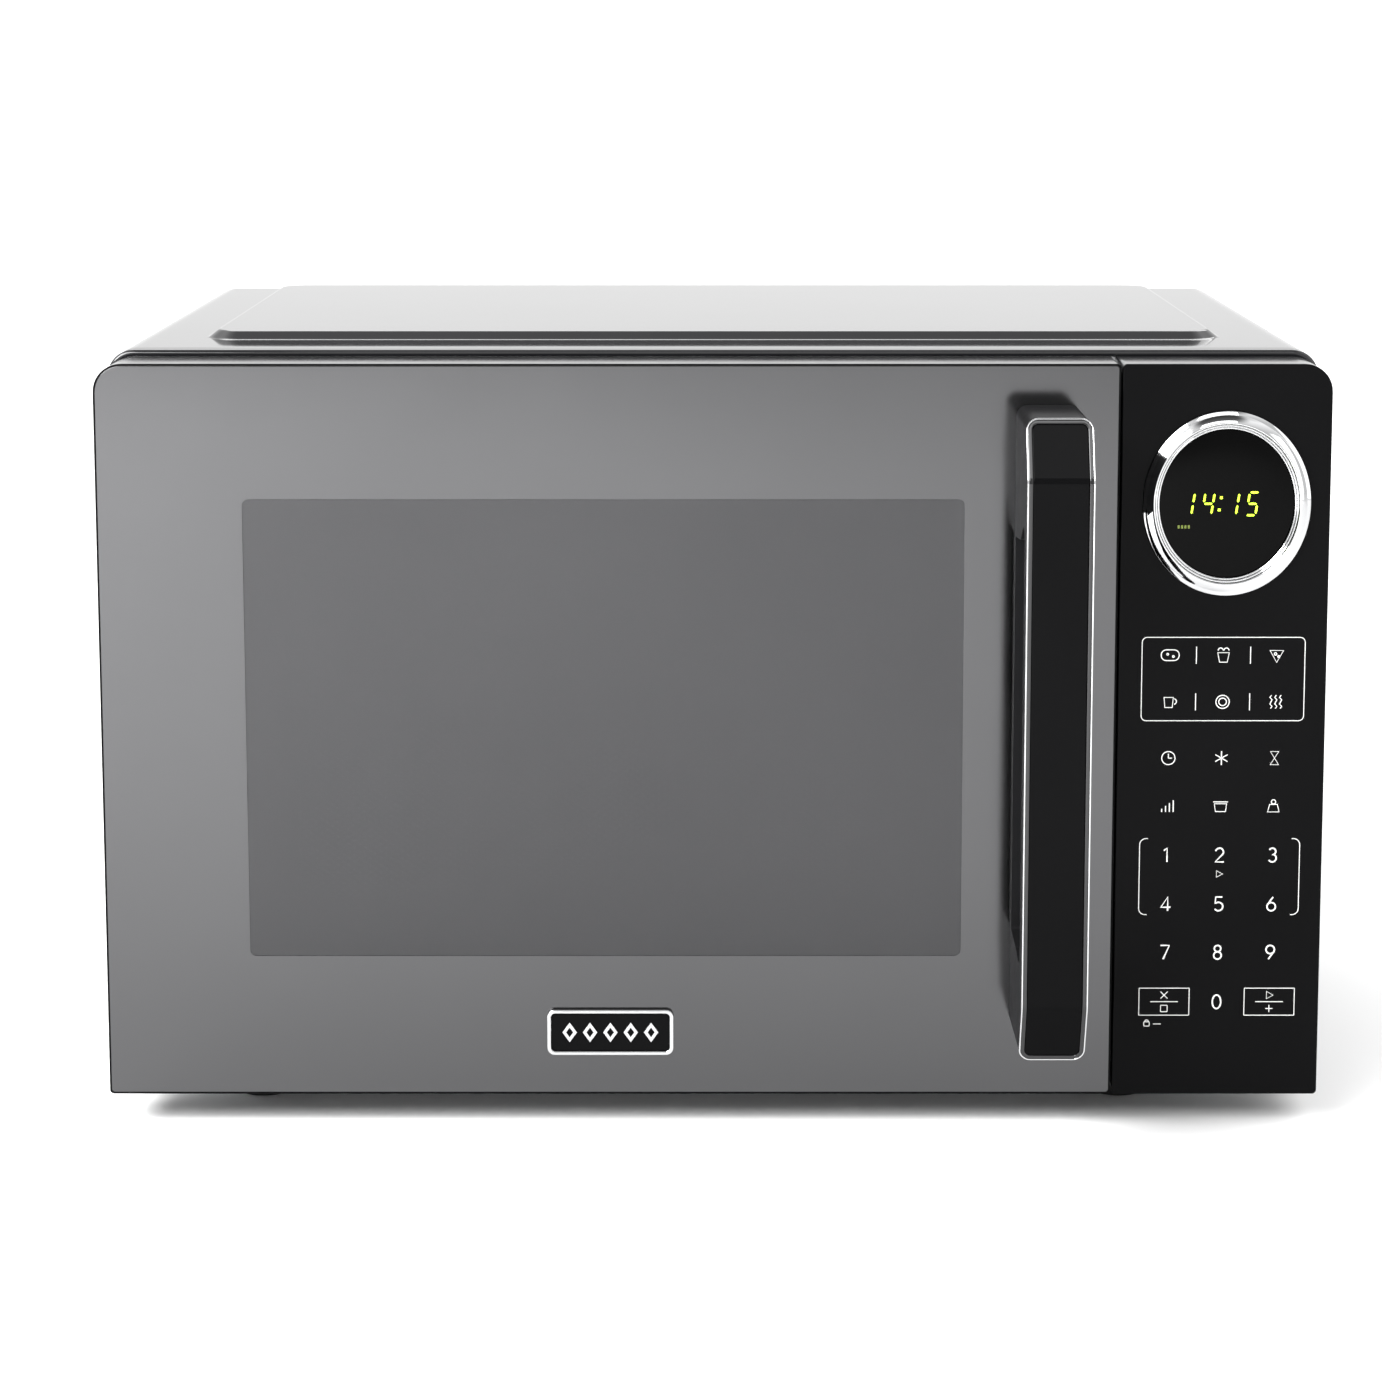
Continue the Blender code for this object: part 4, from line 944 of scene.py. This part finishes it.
def make_display():
    half_u, half_v = (RING_HIGH[0] - RING_LOW[0]) / 2, (RING_HIGH[2] - RING_LOW[2]) / 2
    height, bore = RING_HIGH[1] - RING_LOW[1], 0.02405
    place, stretch = (DISPLAY[0], RING_HIGH[1], DISPLAY[1]), (1, half_v / half_u)
    profile = (
        [(bore, 0.0004)] + arc((0.02445, 0.0014), 0.0004, 180, 20, 5)
        + arc((0.02525, 0.0018), 0.0004, 200, 60, 5)
        + arc((0.0261, height - 0.0006), 0.0006, 120, 62, 4)
        + arc((0.02325, -0.0042), 0.0078, 60, 46, 7)
        + arc((half_u - 0.0009, 0.0007), 0.0009, 42, 0, 4)
        + [(half_u, 0.0000), (bore, 0.0000)])
    ring = turned("bezel_ring", profile, place, (QUARTER, 0, 0), 120, closed=True, stretch=stretch)
    place_piece(ring, "case", "chrome", "display_ring")
    edge, crown, fall = 0.0238, 0.0013, 0.0005
    dome = [(edge * step / 8, crown - fall * (step / 8) ** 3) for step in range(9)]
    lens = turned(
        "lens_dome", dome + [(edge + 0.0001, 0.0), (0, 0.0)], place, (QUARTER, 0, 0), 96, stretch=stretch)
    place_piece(lens, "case", "dark_lens", "display_lens")


# Segments of the clock's digits, and each segment's ends as shares of a digit's width and height
SEGMENTS = {"1": "bc", "4": "fgbc", "5": "afgcd"}
SPANS = {
    "a": ((0, 1), (1, 1)), "b": ((1, 1), (1, 0.5)), "c": ((1, 0.5), (1, 0)),
    "d": ((0, 0), (1, 0)), "f": ((0, 0.5), (0, 1)), "g": ((0, 0.5), (1, 0.5))}


def segment_outline(segment, width=0.0033, height=0.0082, stroke=0.00074):
    """One pointed bar of a digit, about the digit's lower left corner raised by half its height."""
    first, second = [Vector((u * width, (v - 0.5) * height)) for u, v in SPANS[segment]]
    along = (second - first).normalized()
    side = Vector((-along.y, along.x)) * stroke / 2
    gap = 0.00018 if segment in "adg" else 0.00050
    first += along * gap
    second -= along * gap
    tip = along * stroke / 2
    return [first, first + tip - side, second - tip - side, second, second - tip + side, first + tip + side]


def make_digits():
    """A seven-segment clock readout, leaning a little to the right."""
    level, lean, dot = RING_HIGH[1] - 0.00145, 0.15, 0.0005
    lit = []
    for start, digit in ((-0.01545, "1"), (-0.0084, "4"), (0.0004, "1"), (0.00735, "5")):
        for segment in SEGMENTS[digit]:
            lit.append([
                (DISPLAY[0] + start + p.x + lean * p.y, DISPLAY[1] + p.y) for p in segment_outline(segment)])
    for v in (-0.0022, 0.0022):
        lit.append(centred((DISPLAY[0] - 0.0025 + v * lean, DISPLAY[1] + v), dot, dot, 0.0002, 2))
    span = (level - 0.0002, level)
    digits = merged("clock_digits", [plate_mesh("bar", [outline], span) for outline in lit])
    place_piece(digits, "case", "dark_lens", look=glow_look("green_segments", (0.56, 0.86, 0.03), 1.0))
    marks = []
    for place in range(4):
        u, v = DISPLAY[0] - 0.0175 + 0.0012 * place, DISPLAY[1] - 0.0083
        outline = rounded((u, v - 0.0006), (u + 0.0007, v + 0.0006), 0.0001, 1)
        marks.append(plate_mesh("mark", [outline], (level - 0.0001, level)))
    dim = glow_look("dim_segments", (0.09, 0.12, 0.01), 0.8)
    place_piece(merged("mode_marks", marks), "case", "dark_lens", look=dim)


# Printed strokes are (points, closed) pairs

def line(*points):
    return list(points), False


def loop(*points):
    return list(points), True


def rectangle(low, high, radius, steps=1):
    return rounded(low, high, radius, steps), True


def circle(u, v, radius, start=0, end=360, steps=18):
    closed = end - start == 360
    turns = [math.radians(start + (end - start) * n / steps) for n in range(steps + (not closed))]
    return [(u + radius * math.cos(a), v + radius * math.sin(a)) for a in turns], closed


def numerals():
    """Strokes of the numbers 0 to 9, 1 unit tall about their middles."""
    crown = circle(0, 0.22, 0.28, 165, -38, 12)[0]
    upper, lower = circle(0, 0.26, 0.24, 150, -90, 12)[0], circle(0, -0.22, 0.28, 90, -150, 14)[0]
    bowl = circle(0, -0.19, 0.31, 125, -145, 14)[0]
    return [
        [loop(*oval((0, 0), 0.30, 0.50, 24))],
        [line((-0.20, 0.32), (0.03, 0.50), (0.03, -0.50))],
        [line(*crown, (-0.30, -0.50), (0.32, -0.50))],
        [line(*upper, *lower[1:])],
        [line((0.14, -0.50), (0.14, 0.50), (-0.34, -0.24), (0.34, -0.24))],
        [line((0.26, 0.50), (-0.20, 0.50), (-0.24, 0.06), *bowl)],
        [circle(0, -0.20, 0.30), line((-0.27, -0.06), (0.12, 0.50))],
        [line((-0.31, 0.50), (0.31, 0.50), (-0.12, -0.50))],
        [circle(0, 0.27, 0.23), circle(0, -0.23, 0.27)],
        [circle(0, 0.20, 0.30), line((0.27, 0.06), (-0.12, -0.50))]]


def key_icons():
    """Strokes of the icons on the upper keys, row by row, in keypad units."""
    arms = [(22 * math.cos(math.radians(a)), 22 * math.sin(math.radians(a))) for a in (90, 150, 210)]
    return {
        "root": [
            rectangle((-28, -17), (28, 17), 16, 5),
            circle(-8, 3, 3, steps=8), circle(10, -4, 3, steps=8)],
        "bucket": [
            loop((-18, 8), (-12, -22), (12, -22), (18, 8)),
            circle(-9, 15, 8, 0, 180, 8), circle(9, 15, 8, 0, 180, 8)],
        "slice": [
            loop((-21, 15), (21, 15), (0, -23)), circle(-4, 4, 4, steps=8), circle(6, -4, 3, steps=8)],
        "cup": [loop((-17, 14), (-14, -18), (9, -18), (12, 14)), circle(13, 1, 9, -80, 80, 8)],
        "plate": [circle(0, 0, 21), circle(0, 0, 12)],
        "waves": [
            line(*[(u + 4 * math.sin(v * 2.2), v * 7) for v in range(-3, 4)]) for u in (-15, 0, 15)],
        "clock": [circle(0, 0, 21), line((0, 14), (0, 0), (11, 0))],
        "flake": [line((-u, -v), (u, v)) for u, v in arms],
        "hourglass": [loop((-13, 21), (13, 21), (-13, -21), (13, -21))],
        "steps": [line((u, -18), (u, -18 + rise)) for u, rise in ((-18, 10), (-6, 19), (6, 28), (18, 37))],
        "pot": [loop((-19, 8), (-16, -17), (16, -17), (19, 8)), line((-23, 14), (23, 14))],
        "scale": [loop((-18, -18), (18, -18), (12, 6), (-12, 6)), circle(0, 14, 7, steps=10)]}


def keypad_frames():
    """The food box, the brackets beside 1 to 6, and the two key boxes with their marks."""
    strokes = [rectangle((-292, -1286), (292, -982), 18, 4)]
    for side in (-1, 1):
        for row in ICON_ROWS[:2]:
            strokes.append(line((side * 97, -row - 31), (side * 97, -row + 31)))
        inner, bend, key = side * 260, side * 266, side * COLUMN_PITCH
        upper, _ = circle(bend, -1742, 23, 90, 90 - side * 90, 6)
        lower, _ = circle(bend, -1978, 23, 90 - side * 90, 90 - side * 180, 6)
        strokes += [
            line((inner, -1719), *upper, *lower, (inner, -2001)),
            rectangle((key - 91, -2376), (key + 91, -2275), 1),
            line((key - 50, -2325.5), (key + 50, -2325.5))]
    stop, start, lock = -COLUMN_PITCH, COLUMN_PITCH, -COLUMN_PITCH - 62
    return strokes + [
        line((stop - 13, -2314), (stop + 13, -2288)), line((stop - 13, -2288), (stop + 13, -2314)),
        rectangle((stop - 12, -2363), (stop + 12, -2339), 1),
        loop((start - 10, -2315), (start + 14, -2301), (start - 10, -2287)),
        line((start - 13, -2351), (start + 13, -2351)), line((start, -2364), (start, -2338)),
        rectangle((lock - 10, -2417), (lock + 10, -2401), 2), circle(lock, -2401, 7, 0, 180, 8),
        line((lock + 24, -2409), (lock + 52, -2409)),
        loop((-10, -1862), (13, -1850), (-10, -1838))]


def moved(strokes, u, v, scale):
    return [([(u + a * scale, v + b * scale) for a, b in points], closed) for points, closed in strokes]


def make_keypad():
    print_look = plain_look("white_print", (0.66, 0.66, 0.65), 0.45)
    level, depth, tall, icon_scale = FACE - 0.00006, 0.0001, 51, 1.15
    numbers, icons = [], []
    places = [(0, ZERO_ROW)] + [(index % 3 - 1, NUMBER_ROWS[index // 3]) for index in range(9)]
    for (column, row), strokes in zip(places, numerals()):
        numbers += moved(strokes, column * COLUMN_PITCH, -row, tall)
    for index, strokes in enumerate(key_icons().values()):
        icons += moved(strokes, (index % 3 - 1) * COLUMN_PITCH, -ICON_ROWS[index // 3], icon_scale)
    for name, strokes, width in (
            ("keypad_numbers", numbers, 0.00062), ("keypad_icons", icons, 0.00040),
            ("keypad_frames", keypad_frames(), 0.00032)):
        placed = moved(strokes, DISPLAY[0], PANEL_HIGH[2], KEY_UNIT)
        paths = [([(x, level, z) for x, z in points], closed) for points, closed in placed]
        place_piece(wires(name, paths, width, depth), "case", "gloss_black_plastic", look=print_look)


# ------------------------------------------------------------------ cavity

def make_tray():
    low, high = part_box("glass_tray")
    radius, height = (high[0] - low[0]) / 2, high[2] - low[2]
    profile = (
        [(0, 0.0052), (0.040, 0.0052), (0.041, 0.0056), (0.042, 0.0052), (0.098, 0.0052)]
        + arc((0.098, 0.0152), 0.0100, -90, -40, 6)
        + [(0.1185, height - 0.0004)] + arc((radius - 0.0014, height - 0.0014), 0.0014, 100, -40, 6)
        + [(0.1110, 0.0022)] + arc((0.103, 0.0060), 0.0060, -30, -90, 4)
        + [(0.062, 0), (0.060, 0), (0, 0)])
    tray = turned("turntable_plate", profile, (*middle_of(low, high)[:2], low[2]), steps=128)
    place_piece(tray, "turntable", "clear_glass", "glass_tray")


def make_ring_and_rollers():
    hub = middle_of(*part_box("glass_tray"))
    level = middle_of(*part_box("roller_ring"))[2]
    bend, inner, outer = 0.0012, 0.0802, 0.0828
    section = (
        arc((outer, bend), bend, 90, 0, 4) + arc((outer, -bend), bend, 0, -90, 4)
        + arc((inner, -bend), bend, -90, -180, 4) + arc((inner, bend), bend, 180, 90, 4))
    hoop = turned("roller_hoop", section, (hub[0], hub[1], level), steps=120, closed=True)
    place_piece(hoop, "ring", "white_plastic", "roller_ring")
    axle_profile = (
        [(0, 0.0070)] + arc((0.0012, 0.0064), 0.0006, 90, 0, 3)
        + [(0.0018, 0.0060), (0.0018, -0.0060), (0.0034, -0.0066), (0.0034, -0.0078), (0, -0.0078)])
    groove = [(0.0022, 0.0030), (0.0040, 0.0030), (0.0044, 0.0022), (0.0056, 0.0022), (0.0060, 0.0030)]
    wheel_profile = (
        groove + arc((0.0064, 0.0024), 0.0006, 90, 0, 3) + arc((0.0064, -0.0024), 0.0006, 0, -90, 3)
        + [(radius, -height) for radius, height in reversed(groove)])
    for index in range(3):
        angle = math.radians(90 + 120 * index)
        name = f"roller_{index + 1}"

        def spoke(title, profile, reach, steps, closed):
            place = (hub[0] + reach * math.cos(angle), hub[1] + reach * math.sin(angle), level)
            return turned(title, profile, place, (0, QUARTER, angle), steps, closed)

        axle = spoke(f"roller_axle_{index + 1}", axle_profile, 0.0895, 24, False)
        place_piece(axle, "ring", "white_plastic")
        wheel = spoke(name + "_wheel", wheel_profile, 0.092, 40, True)
        place_piece(wheel, name, "white_plastic", name)


# ------------------------------------------------------------------ carried-over CAD nodes

def dress_cad_nodes():
    """Every CAD node that shows gets its slot's material, and rounded edges where it is boxy."""
    slots = {row["node"]: row["material_slot"] for row in frame["record"]["subparts"]}
    for name, thing in NODES.items():
        material = LOOKS[slots[name]].material
        for index in range(len(thing.data.materials)):
            thing.data.materials[index] = material
        if not thing.data.materials:
            thing.data.materials.append(material)
    plain = plain_look("frame_enamel", (0.34, 0.345, 0.35), 0.25)
    NODES["front_frame"].data.materials[0] = plain.material
    for width, names in EDGE_WIDTHS.items():
        for name in names:
            bevelled(NODES[name], width)


# ------------------------------------------------------------------ studio

def area_light(name, location, target, size, power):
    data = bpy.data.lights.new(name, "AREA")
    data.shape = "RECTANGLE"
    data.size, data.size_y = size
    data.energy = power
    lamp = bpy.data.objects.new(name, data)
    lamp.location = location
    lamp.rotation_euler = (Vector(target) - Vector(location)).to_track_quat("-Z", "Y").to_euler()
    lamp.visible_camera = False
    bpy.context.scene.collection.objects.link(lamp)


def make_world():
    """Soft white surroundings, darker overhead and in one patch high in front, for the chrome."""
    world = bpy.data.worlds.new("studio")
    bpy.context.scene.world = world
    world.use_nodes = True
    nodes = Nodes(world.node_tree)
    around = nodes.node("TexCoord").outputs["Generated"]
    axes = nodes.node("SeparateXYZ", {"Vector": around}).outputs
    towards = nodes.node("VectorMath", {0: around, 1: (0.0, -0.50, 0.866)}, operation="DOT_PRODUCT")
    outer, inner = math.cos(math.radians(26)), math.cos(math.radians(14))
    patch = nodes.mapped(
        towards.outputs["Value"], 1.0, 0.10, outer, inner, interpolation_type="SMOOTHSTEP")
    overhead = nodes.ramp(axes["Z"], [(0.55, (0.50,) * 3), (0.76, (0.90,) * 3), (0.93, (0.36,) * 3)])
    strength = nodes.mapped(axes["Y"], 1.96, 2.40, -1.0, 1.0)
    for factor in (patch, overhead):
        strength = nodes.node("Math", {0: strength, 1: factor}, operation="MULTIPLY").outputs["Value"]
    background = world.node_tree.nodes["Background"].inputs
    nodes.feed(background["Strength"], strength)
    nodes.feed(background["Color"], (1, 1, 1, 1))


def make_floor():
    bm = bmesh.new()
    bmesh.ops.create_grid(bm, x_segments=8, y_segments=8, size=12)
    floor = from_bmesh("floor", bm)
    look = Look("pale_floor", roughness=0.9, Specular_IOR_Level=0.1).tone((0.915,) * 3, 0.008, 0.8)
    floor.data.materials.append(look.material)


def make_lights():
    area_light("floor_left", (-1.6, -2.3, 1.6), (-1.6, -2.3, 0), (2.0, 2.2), 200)
    area_light("near_left", (-1.1, -0.7, 1.1), (-0.75, -0.5, 0), (0.8, 0.8), 26)
    area_light("back", (0.3, 2.8, 2.4), (0.1, 1.4, 0), (3.0, 2.0), 70)
    area_light("front_high", (0.2, -2.3, 2.3), (0.1, 0, 0.2), (1.4, 0.5), 8)
    area_light("left_panel", (-1.9, -1.1, 0.75), (0, -0.1, 0.15), (0.8, 1.5), 8)
    area_light("right_panel", (1.9, -1.1, 0.75), (0, -0.1, 0.15), (0.8, 1.5), 6)


def make_camera():
    data = bpy.data.cameras.new("camera")
    data.sensor_width = 36
    data.lens = 96.3
    data.shift_x = -0.0217
    data.shift_y = -0.10
    camera = bpy.data.objects.new("camera", data)
    camera.location = (0.0029, -1.439, 0.4064)
    camera.rotation_euler = (QUARTER - math.radians(8.49), 0, 0)
    bpy.context.scene.collection.objects.link(camera)
    bpy.context.scene.camera = camera


bpy.context.scene.view_settings.view_transform = "Standard"
dress_cad_nodes()
for make in (
        make_cover, make_rear_panel, make_feet, make_screws, make_gland,
        make_door_shell, make_door_glass, make_screen, make_handle, make_latch_coil, make_badge,
        make_panel, make_display, make_digits, make_keypad, make_tray, make_ring_and_rollers,
        make_world, make_floor, make_lights, make_camera):
    make()
